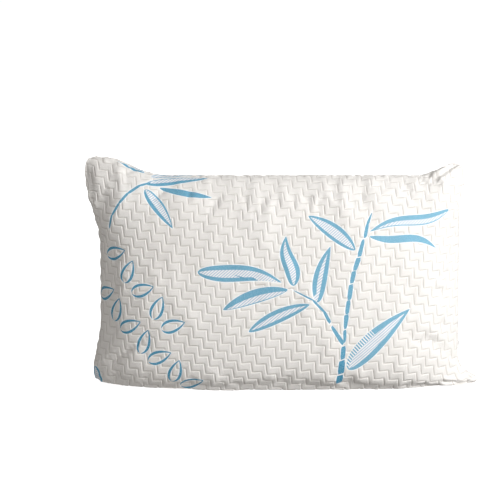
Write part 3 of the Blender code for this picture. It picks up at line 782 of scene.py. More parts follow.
def knit_material(settings):
    """The quilted knit: off-white loops with a painted highlight on their tops, painted shade in the grooves,
    and the leaf print in blue thread.
    """
    material, tree, shader, place = new_material("quilted_knit")
    cloth = add(tree, "ShaderNodeUVMap", None, uv_map="Fabric").outputs[0]

    shadow, loop_highlight, calm = (0.80, 0.775, 0.745), (0.95, 0.94, 0.93), (0.93, 0.94, 0.95)
    bright_ply, hatch_ground = (0.45, 0.66, 0.78), (0.87, 0.875, 0.90)
    blur, tick_pitch = 0.0003, 0.0049

    def field(name):
        """One of the mesh's own values."""
        return add(tree, "ShaderNodeAttribute", None, attribute_name=name).outputs["Fac"]

    def area(name):
        """1 inside a printed area and 0 outside, with a thin soft edge."""
        return ramp(tree, field(name), -blur, blur)

    knit = use_group(tree, knit_group(), {"Vector": cloth, "Stitch": settings.stitch})
    spots = use_group(tree, mottle_group(), {"Vector": place, "Scale": 9.0})
    base = blend_colour(tree, maths(tree, "MULTIPLY", spots["Broad"], 0.35), settings.knit_colour, shadow)
    # Painted highlight: the raised tops of the knitted loops are made a little lighter.
    base = blend_colour(tree, maths(tree, "MULTIPLY", knit["Shade"], 0.12), base, loop_highlight)
    # Painted shade: deep in each quilting groove the knit is darkened towards that colour.
    groove_shade = ramp(tree, field("groove"), 0.25, 0.95, 0.0, 0.62)
    base = blend_colour(tree, groove_shade, base, settings.groove_shade_colour)
    base = blend_colour(tree, ramp(tree, field("figure"), -0.0022, -0.0008, 0.0, 0.9), base, calm)
    split = add(tree, "ShaderNodeSeparateXYZ", {0: cloth})
    slant = maths(tree, "SUBTRACT", maths(tree, "MULTIPLY", split.outputs[0], 0.65),
                  maths(tree, "MULTIPLY", split.outputs[1], 0.76))
    line = maths(tree, "PINGPONG", maths(tree, "DIVIDE", slant, settings.hatch_pitch), 0.5)
    hatch = ramp(tree, line, 0.26, 0.40)
    ink = blend_colour(tree, field("tone"), settings.ink_light, settings.ink_dark)
    thread = add(tree, "ShaderNodeTexNoise", {"Vector": cloth, "Scale": 420.0, "Detail": 2.0}).outputs[0]
    ink = blend_colour(tree, ramp(tree, thread, 0.35, 0.8, 0.0, 0.35), ink, bright_ply)
    pale = blend_colour(tree, hatch, hatch_ground, settings.ink_pale)
    base = blend_colour(tree, area("pale"), base, pale)
    tick_line = maths(tree, "PINGPONG", maths(tree, "DIVIDE", field("along"), tick_pitch), 0.5)
    ticks = maths(tree, "MULTIPLY", ramp(tree, tick_line, 0.18, 0.28), area("ticks"))
    solid = maths(tree, "MAXIMUM", area("ink"), ticks)
    base = blend_colour(tree, solid, base, ink)
    smoothness = maths(tree, "ADD", knit["Shade"], solid)
    finish_surface(tree, shader, base, ramp(tree, smoothness, 0.0, 2.0, 0.94, 0.72))
    set_shader(shader, Sheen_Weight=0.12, Sheen_Roughness=0.5, Specular_IOR_Level=0.25)
    raised = maths(tree, "ADD", knit["Height"], maths(tree, "MULTIPLY", solid, 0.9))
    roughen(tree, shader, raised, 0.00022, 0.55)
    return material


def cloth_material(name, colour, second, pitch, rough, sheen, uv_name=None):
    """Plain woven cloth, with its threads, slight mottling and sheen."""
    material, tree, shader, place = new_material(name)
    cloth = add(tree, "ShaderNodeUVMap", None, uv_map=uv_name).outputs[0] if uv_name else place
    weave = use_group(tree, weave_group(), {"Vector": cloth, "Pitch": pitch})
    spots = use_group(tree, mottle_group(), {"Vector": place, "Scale": 20.0})
    base = blend_colour(tree, maths(tree, "MULTIPLY", weave["Shade"], 0.35), colour, second)
    base = blend_colour(tree, maths(tree, "MULTIPLY", spots["Broad"], 0.25), base, second)
    finish_surface(tree, shader, base, ramp(tree, spots["Fine"], 0.0, 1.0, rough, rough - 0.12))
    set_shader(shader, Sheen_Weight=sheen, Sheen_Roughness=0.4)
    roughen(tree, shader, weave["Height"], pitch * 0.25, 0.5)
    return material


def thread_material(settings):
    """Twisted sewing thread: fine slanting plies."""
    material, tree, shader, place = new_material("sewing_thread")
    ply = add(tree, "ShaderNodeTexWave", {"Vector": place, "Scale": 900.0, "Distortion": 1.5, "Detail": 1.0},
              bands_direction="DIAGONAL")
    spots = use_group(tree, mottle_group(), {"Vector": place, "Scale": 60.0})
    light, dark = settings.thread_colour, darkened(settings.thread_colour, 0.82)
    base = blend_colour(tree, maths(tree, "MULTIPLY", ply.outputs["Fac"], 0.4), light, dark)
    base = blend_colour(tree, maths(tree, "MULTIPLY", spots["Broad"], 0.2), base, dark)
    finish_surface(tree, shader, base, ramp(tree, spots["Fine"], 0.0, 1.0, 0.62, 0.8))
    set_shader(shader, Sheen_Weight=0.2, Sheen_Roughness=0.4)
    roughen(tree, shader, ply.outputs["Fac"], 0.0001, 0.6)
    return material


def foam_material(settings):
    """Shredded foam: open cells with painted shade in their hollows, and shreds of slightly different colour.
    """
    material, tree, shader, place = new_material("shredded_foam")
    shreds = add(tree, "ShaderNodeTexVoronoi", {"Vector": place, "Scale": 1.0 / settings.lump})
    cells = add(tree, "ShaderNodeTexVoronoi", {"Vector": place, "Scale": 900.0})
    cell = cells.outputs["Distance"]
    greenish, pore_shade = (0.74, 0.80, 0.72), (0.45, 0.42, 0.30)
    tint = add(tree, "ShaderNodeSeparateColor", {0: shreds.outputs["Color"]}).outputs[0]
    base = blend_colour(tree, tint, settings.foam_colour, greenish)
    # Painted shade: the hollow in the middle of each open cell is darkened.
    base = blend_colour(tree, ramp(tree, cell, 0.2, 0.6, 0.3, 0.0), base, pore_shade)
    finish_surface(tree, shader, base, ramp(tree, cell, 0.0, 0.7, 0.98, 0.85))
    set_shader(shader, Specular_IOR_Level=0.2)
    roughen(tree, shader, cell, 0.0004, 0.7)
    return material


def metal_material(name, colour, rough, metallic):
    """Cast and polished metal, or enamel on it: faint scratches, and duller spots from handling."""
    material, tree, shader, place = new_material(name)
    spots = use_group(tree, mottle_group(), {"Vector": place, "Scale": 90.0})
    stretch = add(tree, "ShaderNodeMapping", {"Vector": place, "Scale": (2600.0, 2600.0, 160.0)})
    scratches = add(tree, "ShaderNodeTexNoise", {"Vector": stretch.outputs[0], "Scale": 1.0, "Detail": 4.0})
    duller = darkened(colour, 0.78)
    base = blend_colour(tree, maths(tree, "MULTIPLY", spots["Broad"], 0.5), colour, duller)
    worn = maths(tree, "ADD", maths(tree, "MULTIPLY", spots["Fine"], 0.5),
                 maths(tree, "MULTIPLY", scratches.outputs[0], 0.5))
    finish_surface(tree, shader, base, ramp(tree, worn, 0.1, 0.9, rough, rough + 0.22))
    set_shader(shader, Metallic=metallic)
    if not metallic:
        set_shader(shader, Coat_Weight=0.4, Coat_Roughness=0.2)
    roughen(tree, shader, scratches.outputs[0], 0.00003, 0.4)
    return material


def nylon_material():
    """Milky nylon wire of the coil."""
    material, tree, shader, place = new_material("nylon_coil")
    spots = use_group(tree, mottle_group(), {"Vector": place, "Scale": 120.0})
    base = blend_colour(tree, spots["Broad"], (0.84, 0.85, 0.86), (0.74, 0.76, 0.78))
    finish_surface(tree, shader, base, ramp(tree, spots["Fine"], 0.0, 1.0, 0.28, 0.45))
    set_shader(shader, IOR=1.53, Coat_Weight=0.25, Coat_Roughness=0.15)
    roughen(tree, shader, spots["Fine"], 0.00003, 0.3)
    return material


def satin_material(settings):
    """Satin label: long floats of thread along it, with a soft shine."""
    material, tree, shader, place = new_material("satin_label")
    cloth = add(tree, "ShaderNodeUVMap", None, uv_map="Fabric").outputs[0]
    stretch = add(tree, "ShaderNodeMapping", {"Vector": cloth, "Scale": (4200.0, 500.0, 1.0)})
    floats = add(tree, "ShaderNodeTexNoise", {"Vector": stretch.outputs[0], "Scale": 1.0, "Detail": 2.0})
    spots = use_group(tree, mottle_group(), {"Vector": place, "Scale": 40.0})
    light, dark = settings.label_colour, darkened(settings.label_colour, 0.86)
    base = blend_colour(tree, ramp(tree, floats.outputs[0], 0.3, 0.7, 0.0, 0.5), light, dark)
    base = blend_colour(tree, maths(tree, "MULTIPLY", spots["Broad"], 0.2), base, dark)
    finish_surface(tree, shader, base, ramp(tree, floats.outputs[0], 0.3, 0.7, 0.34, 0.5))
    set_shader(shader, Sheen_Weight=0.3, Sheen_Roughness=0.3)
    roughen(tree, shader, floats.outputs[0], 0.00006, 0.5)
    return material


# ---------------------------------------------------------------- the cover


# Creases of the cover, in millimetres of its cloth: two ends, half width and depth.
FRONT_CREASES = (
    ((286, 216), (330, 240), 4.0, 3.0),
    ((262, 222), (300, 240), 5.0, 2.0),
    ((300, -176), (352, -196), 4.0, 3.5),
    ((322, -190), (372, -186), 3.0, 3.0),
    ((-345, 150), (-300, 228), 14.0, 2.5),
)
BACK_CREASES = (
    ((250, 200), (325, 232), 6.0, 4.0),
    ((-340, 170), (-290, 225), 9.0, 4.0),
    ((300, -176), (360, -196), 5.0, 3.5),
)


def creases(s, t, lines):
    """Height of long folds: a sunken bell curve along each line, between two raised ones beside it."""
    total = np.zeros_like(s)
    for start, end, half_width, deep in lines:
        p, q = np.array(start, float) * MM, np.array(end, float) * MM
        run = q - p
        length = math.hypot(*run)
        share = ((s - p[0]) * run[0] + (t - p[1]) * run[1]) / length**2
        off = ((t - p[1]) * run[0] - (s - p[0]) * run[1]) / length
        fade = smooth((share + 0.3) / 0.4) * smooth((1.3 - share) / 0.4)
        off = np.abs(off) / (half_width * MM)
        total += deep * MM * fade * (np.exp(-(((off - 2.0) / 1.2) ** 2)) - 0.5 * np.exp(-(off**2)))
    return total


def curve_weights(at, count):
    """Catmull-Rom weights of each grid line at the places at, counted in grid lines."""
    base = np.clip(np.floor(at).astype(int), 0, count - 2)
    f = at - base
    shares = (2.0 * f**2 - f**3 - f, 3.0 * f**3 - 5.0 * f**2 + 2.0,
              4.0 * f**2 - 3.0 * f**3 + f, f**3 - f**2)
    weights = np.zeros((len(at), count + 2))
    for k, share in enumerate(shares):
        weights[np.arange(len(at)), base + k] += 0.5 * share
    weights[:, 1] += weights[:, 0]
    weights[:, -2] += weights[:, -1]
    return weights[:, 1:-1]


def resample(values, rows, columns):
    """A coarse grid's values at in-between rows and columns, by smooth curves both ways."""
    return curve_weights(rows, values.shape[0]) @ values @ curve_weights(columns, values.shape[1]).T


def relaxed_lift(settings):
    """How far a cloth simulation moves each side of the cover along its normals, on a coarse grid.

    A closed bag with the sewn shape is held along its seams. Its cloth is cut slightly larger than
    that shape and is blown out from inside, so it gathers beside the seams. The move is held between
    a floor and a cap, softly at the cap.
    """
    rows, columns = BAG_ROWS, BAG_COLUMNS
    u, v = np.meshgrid(even_lines(columns - 1, True), even_lines(rows - 1, False))
    sides = [skin(u, v, side) for side in (-1, 1)]
    count = rows * columns
    ring = grid_ring(rows, columns)
    after = np.roll(ring, -1)
    faces = [grid_quads(rows, columns), grid_quads(rows, columns, count, True),
             np.stack([after, ring, ring + count, after + count], axis=1)]
    bag = fill_mesh("cloth_bag", np.concatenate(sides).reshape(-1, 3), faces)
    held = bag.vertex_groups.new(name="seams")
    held.add([int(k) for k in ring] + [int(k) + count for k in ring], 1.0, "REPLACE")
    cloth = bag.modifiers.new("cloth", "CLOTH")
    cloth.collision_settings.use_collision = False
    made = cloth.settings
    made.quality = 6
    made.mass = 0.25
    made.air_damping = 4.0
    made.tension_stiffness = made.compression_stiffness = 25.0
    made.shear_stiffness = 10.0
    made.bending_stiffness = settings.cloth_bending
    made.shrink_min = -settings.cloth_ease
    made.use_pressure = True
    made.uniform_pressure_force = settings.cloth_pressure
    made.vertex_group_mass = held.name
    made.effector_weights.gravity = 0.0
    scene = bpy.context.scene
    for moment in range(1, CLOTH_FRAMES + 1):
        scene.frame_set(moment)
    moved = bag.evaluated_get(bpy.context.evaluated_depsgraph_get()).data
    ends = np.empty(len(moved.vertices) * 3, np.float32)
    moved.vertices.foreach_get("co", ends)
    scene.frame_set(1)
    bpy.data.objects.remove(bag)
    ends = ends.reshape(2, rows, columns, 3)
    lifts = {}
    for side, start, end in zip((-1, 1), sides, ends):
        lift = ((end - start) * normals(start, side)).sum(axis=2)
        lifts[side] = np.maximum(LIFT_CAP * np.tanh(lift / LIFT_CAP), LIFT_FLOOR)
    return lifts


# Distances from a seam, in metres, over which the cover's surface changes.
CALM_REACH, SWELL_REACH, FOLD_REACH = 0.020, 0.030, 0.012
PUCKER_REACH, PUCKER_START, PINCH_REACH = 0.010, 0.003, 0.0035
ZIP_CALM, ZIP_FREE = 0.005, 0.018  # the cover lies flat beside the zip, then lifts over this distance
# Heights of its unevenness: the cloth's drift, broad and fine swelling, gathers and seam puckers.
DRIFT, BROAD, FINE, GATHER, PUCKER = 0.0011, 0.0016, 0.0007, 0.0017, 0.0006
TOP_FROM, TOP_OVER = 0.15, 0.06  # the top zone begins this far up the cloth, and sets in over this
LEAST_WALL = 0.0006  # what the deepest groove leaves of the wall
BACK_PRINT = 0.05, 0.02  # where the back's print is shifted to
INNER_STEP = 8  # grid steps of the outer side for one of the inner side


def folds(s, t, edge, top_zone):
    """Swelling of the stuffed cover: a soft positive part of broad and fine waves and upright gathers."""
    broad = BROAD * ripples(s, t, 0.13, 11) + FINE * ripples(s, t, 0.045, 12)
    gathers = GATHER * ripples(s, 0.35 * t, 0.036, 13) * (0.15 + 0.85 * top_zone)
    return BROAD * np.logaddexp(0.0, (broad + gathers) / BROAD) * smooth(edge / SWELL_REACH)


def cover_panel(name, side, settings, lift):
    """One panel: the sewn shape, pushed along its normals and drawn in at its seams.

    The height is the quilting, which is pulled flat near a seam and under the print, plus the folds,
    the simulated lift away from the zip and the creases. Puckers and a pinch follow the seams.
    """
    front = side < 0
    columns = settings.front_columns if front else settings.back_columns
    rows = settings.front_rows if front else settings.back_rows
    u, v = np.meshgrid(even_lines(columns, True), even_lines(rows, False))
    shape = skin(u, v, side)
    s = run_length(shape, 1, shape[..., 0], 0.0)
    t = run_length(shape, 0, shape[..., 2], CLOTH_LEVEL)
    fabric = np.stack([s, t], axis=-1)
    if not front:
        s, t = -s, t + 6.0 * MM
    edge_u = np.minimum(s - s.min(axis=1, keepdims=True), s.max(axis=1, keepdims=True) - s)
    edge_v = np.minimum(t - t.min(axis=0, keepdims=True), t.max(axis=0, keepdims=True) - t)
    edge = np.minimum(edge_u, edge_v)
    drift_s, drift_t = DRIFT * ripples(s, t, 0.16, 3), DRIFT * ripples(s, t, 0.14, 5)
    groove, basin, ridge = quilting(s + drift_s, t + drift_t, settings.groove_width)
    if front:
        fields = print_fields(s, t, MAIN_LEAVES + CORNER_LEAVES + border_rows(), STALKS)
    else:
        fields = print_fields(s + BACK_PRINT[0], t + BACK_PRINT[1], MAIN_LEAVES + border_rows(), MAIN_STALKS)
    flat = smooth((fields["figure"] + 0.0024) / 0.0020)
    deep = settings.quilt_depth
    relief = -deep * (0.86 * groove + 0.14 * basin) + 0.26 * deep * ridge
    relief = relief * (1.0 - flat) - 0.35 * deep * flat
    top_zone = smooth((t - TOP_FROM) / TOP_OVER)
    height = relief * (0.12 + 0.88 * smooth(edge / CALM_REACH)) * (1.0 - 0.35 * top_zone)
    height += folds(s, t, edge, top_zone)
    bag_rows, bag_columns = [np.linspace(0.0, bag - 1.0, steps + 1)
                             for bag, steps in ((BAG_ROWS, rows), (BAG_COLUMNS, columns))]
    zip_side = s.max(axis=1, keepdims=True) if front else s.min(axis=1, keepdims=True)
    height += resample(lift, bag_rows, bag_columns) * smooth((np.abs(s - zip_side) - ZIP_CALM) / ZIP_FREE)
    height += creases(s, t, FRONT_CREASES if front else BACK_CREASES) * smooth(edge / FOLD_REACH)
    height = np.maximum(height, LEAST_WALL - COVER_WALL)
    COVER_HEIGHTS[side] = (u[0], v[:, 0], height)
    pucker = PUCKER * ripples(s + t, s - t, 0.024, 17) * np.exp(-((edge / PUCKER_REACH) ** 2))
    pinch = settings.seam_pinch * np.exp(-((edge / PINCH_REACH) ** 2))
    shape = shape + normals(shape, side) * (height + pucker * smooth(edge / PUCKER_START))[..., None]
    middle = np.array([0.5 * (RIGHT_REACH - LEFT_REACH), 0.0, 0.5 * HEIGHT]) - PLAN_CENTRE
    inward = (middle - shape) * np.array([1.0, 0.0, 1.0])
    inward /= np.linalg.norm(inward, axis=-1, keepdims=True)
    opened = slot(u, np.maximum(outline(u, v, 0.0, 1.0)[1], 0.0)) / ZIP_SLOT
    shape = shape + inward * (pinch * (1.0 - opened))[..., None]
    shape[..., 2] = np.maximum(shape[..., 2], 0.0)
    inner_u, inner_v = np.meshgrid(even_lines(columns // INNER_STEP, True),
                                   even_lines(rows // INNER_STEP, False))
    inner = skin(inner_u, inner_v, side, COVER_WALL, COVER_WALL, COVER_WALL)
    fields["groove"] = groove * (1.0 - flat)
    return two_sided(name, shape, inner, side, fabric, fabric[::INNER_STEP, ::INNER_STEP], fields)


WIDTH_TOLERANCE = 0.02


class PILLOW_OT_cover(bpy.types.Operator):
    """Build the quilted front and back panels of the cover"""

    bl_idname = "pillow.cover"
    bl_label = "Cover"

    def execute(self, context):
        settings = context.scene.pillow_cover
        knit = knit_material(settings)
        lifts = relaxed_lift(settings)
        for name, side in (("cover_front", -1), ("cover_back", 1)):
            node = name + "_panel"
            lowest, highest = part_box(node)
            panel = cover_panel(name, side, settings, lifts[side])
            wide = panel.dimensions[0] - (highest[0] - lowest[0])
            if abs(wide) > WIDTH_TOLERANCE:
                raise RuntimeError(f"{name} doesn't have the frame's width")
            dress(panel, knit, "pillow", "quilted_knit", node)
        return {"FINISHED"}


# ---------------------------------------------------------------- the filling


def liner_floor():
    """Lowest height of the liner's outer side, above the cover and the two seams."""
    return COVER_WALL + GAP + SEAM_THICK + GAP + LINER_SEAM_WIDTH + GAP


class PILLOW_OT_liner(bpy.types.Operator):
    """Build the thin woven liner bag round the foam"""

    bl_idname = "pillow.liner"
    bl_label = "Liner"

    def execute(self, context):
        settings = context.scene.pillow_filling
        darker = darkened(settings.liner_colour, 0.9)
        cloth = cloth_material("liner_cloth", settings.liner_colour, darker, 0.0007, 0.85, 0.1, "Fabric")
        outer_layer = dict(plane_inset=LINER_INSET, depth_inset=COVER_WALL + LINER_SLACK,
                           floor=liner_floor(), ears=0.0)
        inner_layer = dict(plane_inset=LINER_INSET + LINER_WALL, floor=liner_floor() + LINER_WALL,
                           depth_inset=COVER_WALL + LINER_SLACK + LINER_WALL, ears=0.0)
        for name, side in (("liner_front", -1), ("liner_back", 1)):
            u, v = np.meshgrid(even_lines(192, True, **outer_layer), even_lines(120, False, **outer_layer))
            outer, inner = skin(u, v, side, **outer_layer), skin(u, v, side, **inner_layer)
            s = run_length(outer, 1, outer[..., 0], 0.0)
            t = run_length(outer, 0, outer[..., 2], CLOTH_LEVEL)
            fade = (1.0 - u**6) * (1.0 - v**6)
            uneven = ripples(s, t, 0.05, 21) * 0.6 + ripples(s, t, 0.02, 22) * 0.4
            wrinkle = np.minimum(settings.wrinkle * fade * uneven, 0.8 * MM) - 0.3 * MM * fade
            push = normals(outer, side) * wrinkle[..., None]
            fabric = np.stack([s, t], axis=-1)
            panel = two_sided(name, outer + push, inner + push, side, fabric, fabric)
            dress(panel, cloth, "pillow", "liner_cloth", name + "_panel")
        return {"FINISHED"}


class PILLOW_OT_foam(bpy.types.Operator):
    """Build the body of shredded foam"""

    bl_idname = "pillow.foam"
    bl_label = "Foam"

    def execute(self, context):
        settings = context.scene.pillow_filling
        layer = dict(plane_inset=LINER_INSET + LINER_WALL + FOAM_SLACK,
                     depth_inset=COVER_WALL + LINER_SLACK + LINER_WALL + FOAM_SLACK,
                     floor=liner_floor() + LINER_WALL + FOAM_SLACK, ears=0.0)
        u, v = np.meshgrid(even_lines(220, True, **layer), even_lines(136, False, **layer))
        sides = []
        for side in (-1, 1):
            shape = skin(u, v, side, **layer)
            s = run_length(shape, 1, shape[..., 0], 0.0)
            t = run_length(shape, 0, shape[..., 2], CLOTH_LEVEL)
            lumps = ripples(s, t, settings.lump, 31 + side)
            lumps = lumps + 0.5 * ripples(s, t, 0.4 * settings.lump, 41 + side)
            hollow = settings.lump_depth * (0.25 + 0.75 * np.abs(np.tanh(lumps)) - 1.0)
            hollow = hollow * (1.0 - u**8) * (1.0 - v**8)
            sides.append(shape + normals(shape, side) * hollow[..., None])
        fabric = np.stack([s, t], axis=-1)
        foam = two_sided("foam_body", sides[0], sides[1], -1, fabric, fabric)
        dress(foam, foam_material(settings), "pillow", "shredded_foam", "foam_fill")
        return {"FINISHED"}


# ---------------------------------------------------------------- seams


def rounded_section():
    """Points round a flat section with round corners: signed square roots of a cosine and a sine."""
    angle = np.linspace(0.0, 2.0 * math.pi, 16, endpoint=False)
    wide, up = np.cos(angle), np.sin(angle)
    return np.sign(wide) * np.abs(wide) ** 0.5, np.sign(up) * np.abs(up) ** 0.5


def overlocked(name, path_u, path_v, insets, half_thick, pitch, ears, floors, closed=False):
    """An overlocked edge: a rounded flat section whose thickness swells at each loop of thread.

    The section runs across between two insets of the outline, and the loops slant along it.
    """
    wide, up = rounded_section()
    across = 0.5 - 0.5 * wide
    middle_x, middle_z = outline(path_u, path_v, insets[0], ears)
    middle_z = np.maximum(middle_z, floors[0])
    run = np.append(0.0, np.cumsum(np.hypot(np.diff(middle_x), np.diff(middle_z))))
    inset = insets[0] + across[None, :] * (insets[1] - insets[0])
    x, z = outline(path_u[:, None], path_v[:, None], inset, ears)
    z = np.maximum(z, floors[0] + across[None, :] * (floors[1] - floors[0]))
    loop = np.sin(2.0 * math.pi * (run[:, None] / pitch + across[None, :]))
    thick = half_thick * up[None, :] * (0.78 + 0.22 * loop)
    return tube(name, np.stack([x, z * SLOPE + thick, z], axis=-1) - PLAN_CENTRE, closed)


class PILLOW_OT_seams(bpy.types.Operator):
    """Build the overlocked seam allowances and the topstitching beside the zip"""

    bl_idname = "pillow.seams"
    bl_label = "Seams"

    def execute(self, context):
        settings = context.scene.pillow_zip
        thread = thread_material(settings)
        pitch = settings.overlock_pitch
        start = COVER_WALL + 3.0 * GAP
        insets, half = (start, start + SEAM_WIDTH), 0.5 * SEAM_THICK
        past = ZIP_MARGIN + PAST_ZIP
        across = np.linspace(-0.88, 0.88, 780)
        upright = np.linspace(-0.76, 0.84, 420)
        low = np.linspace(-0.86, height_share(ZIP_LOW - past), 80)
        high = np.linspace(height_share(ZIP_LOW + ZIP_RISE + past), 0.84, 80)
        runs = (("top", across, np.ones_like(across)), ("left", -np.ones_like(upright), upright),
                ("right_lower", np.ones_like(low), low), ("right_upper", np.ones_like(high), high))
        for name, path_u, path_v in runs:
            seam = overlocked("seam_" + name, path_u, path_v, insets, half, pitch, 1.0, (0.0, 0.0))
            dress(seam, thread, "pillow", "sewing_thread", "seam_overlock_" + name)
        x, _ = outline(np.linspace(-0.8, 0.8, 700), -1.0, 0.0, 1.0)
        wide, up = rounded_section()
        wide = 0.5 * SEAM_WIDTH * wide
        loop = np.sin(2.0 * math.pi * (x[:, None] / pitch + wide[None, :] / SEAM_WIDTH))
        z = COVER_WALL + GAP + half * (1.0 + up[None, :] * (0.78 + 0.22 * loop))
        rings = np.stack([np.broadcast_to(x[:, None], z.shape), wide[None, :] + z * SLOPE, z], axis=-1)
        seam = tube("seam_bottom", rings - PLAN_CENTRE)
        dress(seam, thread, "pillow", "sewing_thread", "seam_overlock_bottom")
        line = np.sin(np.linspace(-0.5, 0.5, 500) * math.pi)
        one = np.ones(499)
        path_u = np.concatenate([line[:-1], one, line[:0:-1], -one])
        path_v = np.concatenate([-one, line[:-1], one, line[:0:-1]])
        start = LINER_INSET - GAP - LINER_SEAM_WIDTH
        floor = liner_floor() - GAP - LINER_SEAM_WIDTH
        seam = overlocked("seam_liner", path_u, path_v, (start, start + LINER_SEAM_WIDTH),
                          0.5 * LINER_SEAM_THICK, pitch, 0.0, (floor, floor + LINER_SEAM_WIDTH), True)
        dress(seam, thread, "pillow", "sewing_thread", "liner_seam_overlock")
        self.topstitch(settings, thread)
        return {"FINISHED"}

    def topstitch(self, settings, thread):
        """Rows of stitches: a thin thread that swells on each stitch and dips into the knit between."""
        along = np.linspace(-PAST_ZIP, ZIP_LENGTH + PAST_ZIP, 1100)
        z = ZIP_LOW + along * ALONG[2]
        turn = np.linspace(0.0, 2.0 * math.pi, 8, endpoint=False)
        offset = ZIP_SLOT + STITCH_FROM_EDGE
        x = zip_x(math.sqrt(offset**2 - ZIP_SLOT**2), z, 0.0) - RIGHT_REACH + STITCH_RADIUS
        lift = np.abs(np.sin(math.pi * along / settings.stitch_length)) ** 0.45
        radius = STITCH_RADIUS * (0.45 + 0.85 * lift)
        x = x + 0.0006 * (lift - 0.55)
        for name, side in (("front", -1), ("back", 1)):
            n = side * offset + radius[:, None] * np.sin(turn)[None, :]
            rings = on_zip(along[:, None], n, x[:, None] + radius[:, None] * np.cos(turn)[None, :])
            row = tube("topstitch_" + name, rings)
            dress(row, thread, "pillow", "sewing_thread", "zip_topstitch_" + name)


# ---------------------------------------------------------------- the zip


def rounded_copy(node, name, width, segments=2):
    """The CAD node's shape, merged into one skin, with its hard edges rounded."""
    mesh = frame["nodes"][node].data.copy()
    mesh.name = name
    build = bmesh.new()
    build.from_mesh(mesh)
    bmesh.ops.remove_doubles(build, verts=build.verts, dist=1e-6)
    bmesh.ops.dissolve_limit(build, angle_limit=math.radians(1.0), verts=build.verts, edges=build.edges)
    sharp = [edge for edge in build.edges if edge.calc_face_angle(0.0) > math.radians(35.0)]
    bmesh.ops.bevel(build, geom=sharp, offset=width, segments=segments, profile=0.5, affect="EDGES",
                    clamp_overlap=True)
    bmesh.ops.triangulate(build, faces=[face for face in build.faces if len(face.verts) > 4])
    build.to_mesh(mesh)
    build.free()
    mesh.shade_smooth()
    mesh.set_sharp_from_angle(angle=math.radians(50.0))
    piece = bpy.data.objects.new(name, mesh)
    bpy.context.scene.collection.objects.link(piece)
    return piece


class PILLOW_OT_zip(bpy.types.Operator):
    """Build the woven tapes, the nylon coils and the metal stops"""

    bl_idname = "pillow.zip"
    bl_label = "Zip"

    def execute(self, context):
        settings = context.scene.pillow_zip
        darker = darkened(settings.tape_colour, 0.86)
        cloth = cloth_material("zip_tape", settings.tape_colour, darker, 0.0006, 0.8, 0.15, "Fabric")
        nylon = nylon_material()
        metal = metal_material("zip_metal", settings.metal_colour, 0.28, 1.0)
        for name, side in (("front", -1), ("back", 1)):
            dress(self.tape("tape_" + name, side), cloth, "pillow", "zip_tape", "zip_tape_" + name)
            coil = self.coil("coil_" + name, side, settings)
            dress(coil, nylon, "pillow", "nylon_coil", "zip_coil_" + name)
            stop = rounded_copy("zip_top_stop_" + name, "top_stop_" + name, 0.0003)
            dress(stop, metal, "pillow", "zip_metal", "zip_top_stop_" + name)
        stop = rounded_copy("zip_bottom_stop", "end_stop", 0.0004)
        dress(stop, metal, "pillow", "zip_metal", "zip_bottom_stop")
        return {"FINISHED"}

    def tape(self, name, side):
        """A flat band that follows the cover's round side, with a raised cord and fine ribs across it."""
        along = np.linspace(-ZIP_MARGIN, ZIP_LENGTH + ZIP_MARGIN, 240)
        reach = np.linspace(COIL_INNER, TAPE_REACH, 40)
        z = ZIP_LOW + along * ALONG[2]
        n, a = np.meshgrid(reach, along)
        layers = []
        for inset, lift in ((TAPE_INSET, 1.0), (TAPE_INSET + TAPE_THICK, 0.0)):
            x = zip_x(n, z[:, None], inset) - RIGHT_REACH
            cord = 0.18 * MM * np.exp(-(((n - 4.5 * MM) / (0.6 * MM)) ** 2))
            ribs = 0.05 * MM * np.sin(a / (1.2 * MM) * math.pi)
            layers.append(on_zip(a, side * n, x - (cord + ribs) * lift))
        fabric = np.stack([n, a], axis=-1)
        piece = two_sided(name, layers[0], layers[1], -side, fabric, fabric)
        face_outwards(piece)
        return piece

    def coil(self, name, side, settings):
        """A flattened helix of wire: an ellipse across the coil, carried along it at the coil's pitch."""
        wire = settings.wire
        turns = int(ZIP_LENGTH / settings.coil_pitch)
        phase = np.linspace(0.0, 2.0 * math.pi * turns, 12 * turns)
        inner, outer = COIL_TOOTH, COIL_OUTER
        mid_n, mid_x = 0.5 * (inner + outer), 0.5 * (COIL_LOW + COIL_HIGH)
        half_n, half_x = 0.5 * (outer - inner) - wire, 0.5 * (COIL_HIGH - COIL_LOW) - wire
        shift = 0.5 * settings.coil_pitch if side > 0 else 0.0
        a = wire + shift + (ZIP_LENGTH - 2.0 * wire - 0.5 * settings.coil_pitch) * phase / phase[-1]
        n, x = mid_n + half_n * np.cos(phase), mid_x + half_x * np.sin(phase)
        centre = on_zip(a, side * n, x)
        run = np.gradient(centre, axis=0)
        run /= np.linalg.norm(run, axis=1, keepdims=True)
        spoke = on_zip(a, side * (n + MM * np.cos(phase)), x + MM * np.sin(phase)) - centre
        spoke /= np.linalg.norm(spoke, axis=1, keepdims=True)
        other = np.cross(run, spoke)
        turn = np.linspace(0.0, 2.0 * math.pi, 6, endpoint=False)
        rings = centre[:, None] + wire * (np.cos(turn)[None, :, None] * spoke[:, None]
                                          + np.sin(turn)[None, :, None] * other[:, None])
        return tube(name, rings)


class PILLOW_OT_slider(bpy.types.Operator):
    """Build the slider, its crown and the pull tab"""

    bl_idname = "pillow.slider"
    bl_label = "Slider and Tab"

    def execute(self, context):
        settings = context.scene.pillow_zip
        metal = metal_material("slider_metal", settings.metal_colour, 0.24, 1.0)
        enamel = metal_material("slider_enamel", (0.80, 0.80, 0.80), 0.30, 0.0)
        body = rounded_copy("zip_slider_body", "slider_body", 0.00022)
        dress(body, metal, "zip_slider", "zip_metal", "zip_slider_body")
        crown = rounded_copy("zip_slider_crown", "slider_crown", 0.0003)
        dress(crown, metal, "zip_slider", "zip_metal", "zip_slider_crown")
        tab = rounded_copy("zip_pull_tab", "pull_tab", 0.0003)
        dress(tab, enamel, "pull_tab", "slider_enamel", "zip_pull_tab")
        return {"FINISHED"}


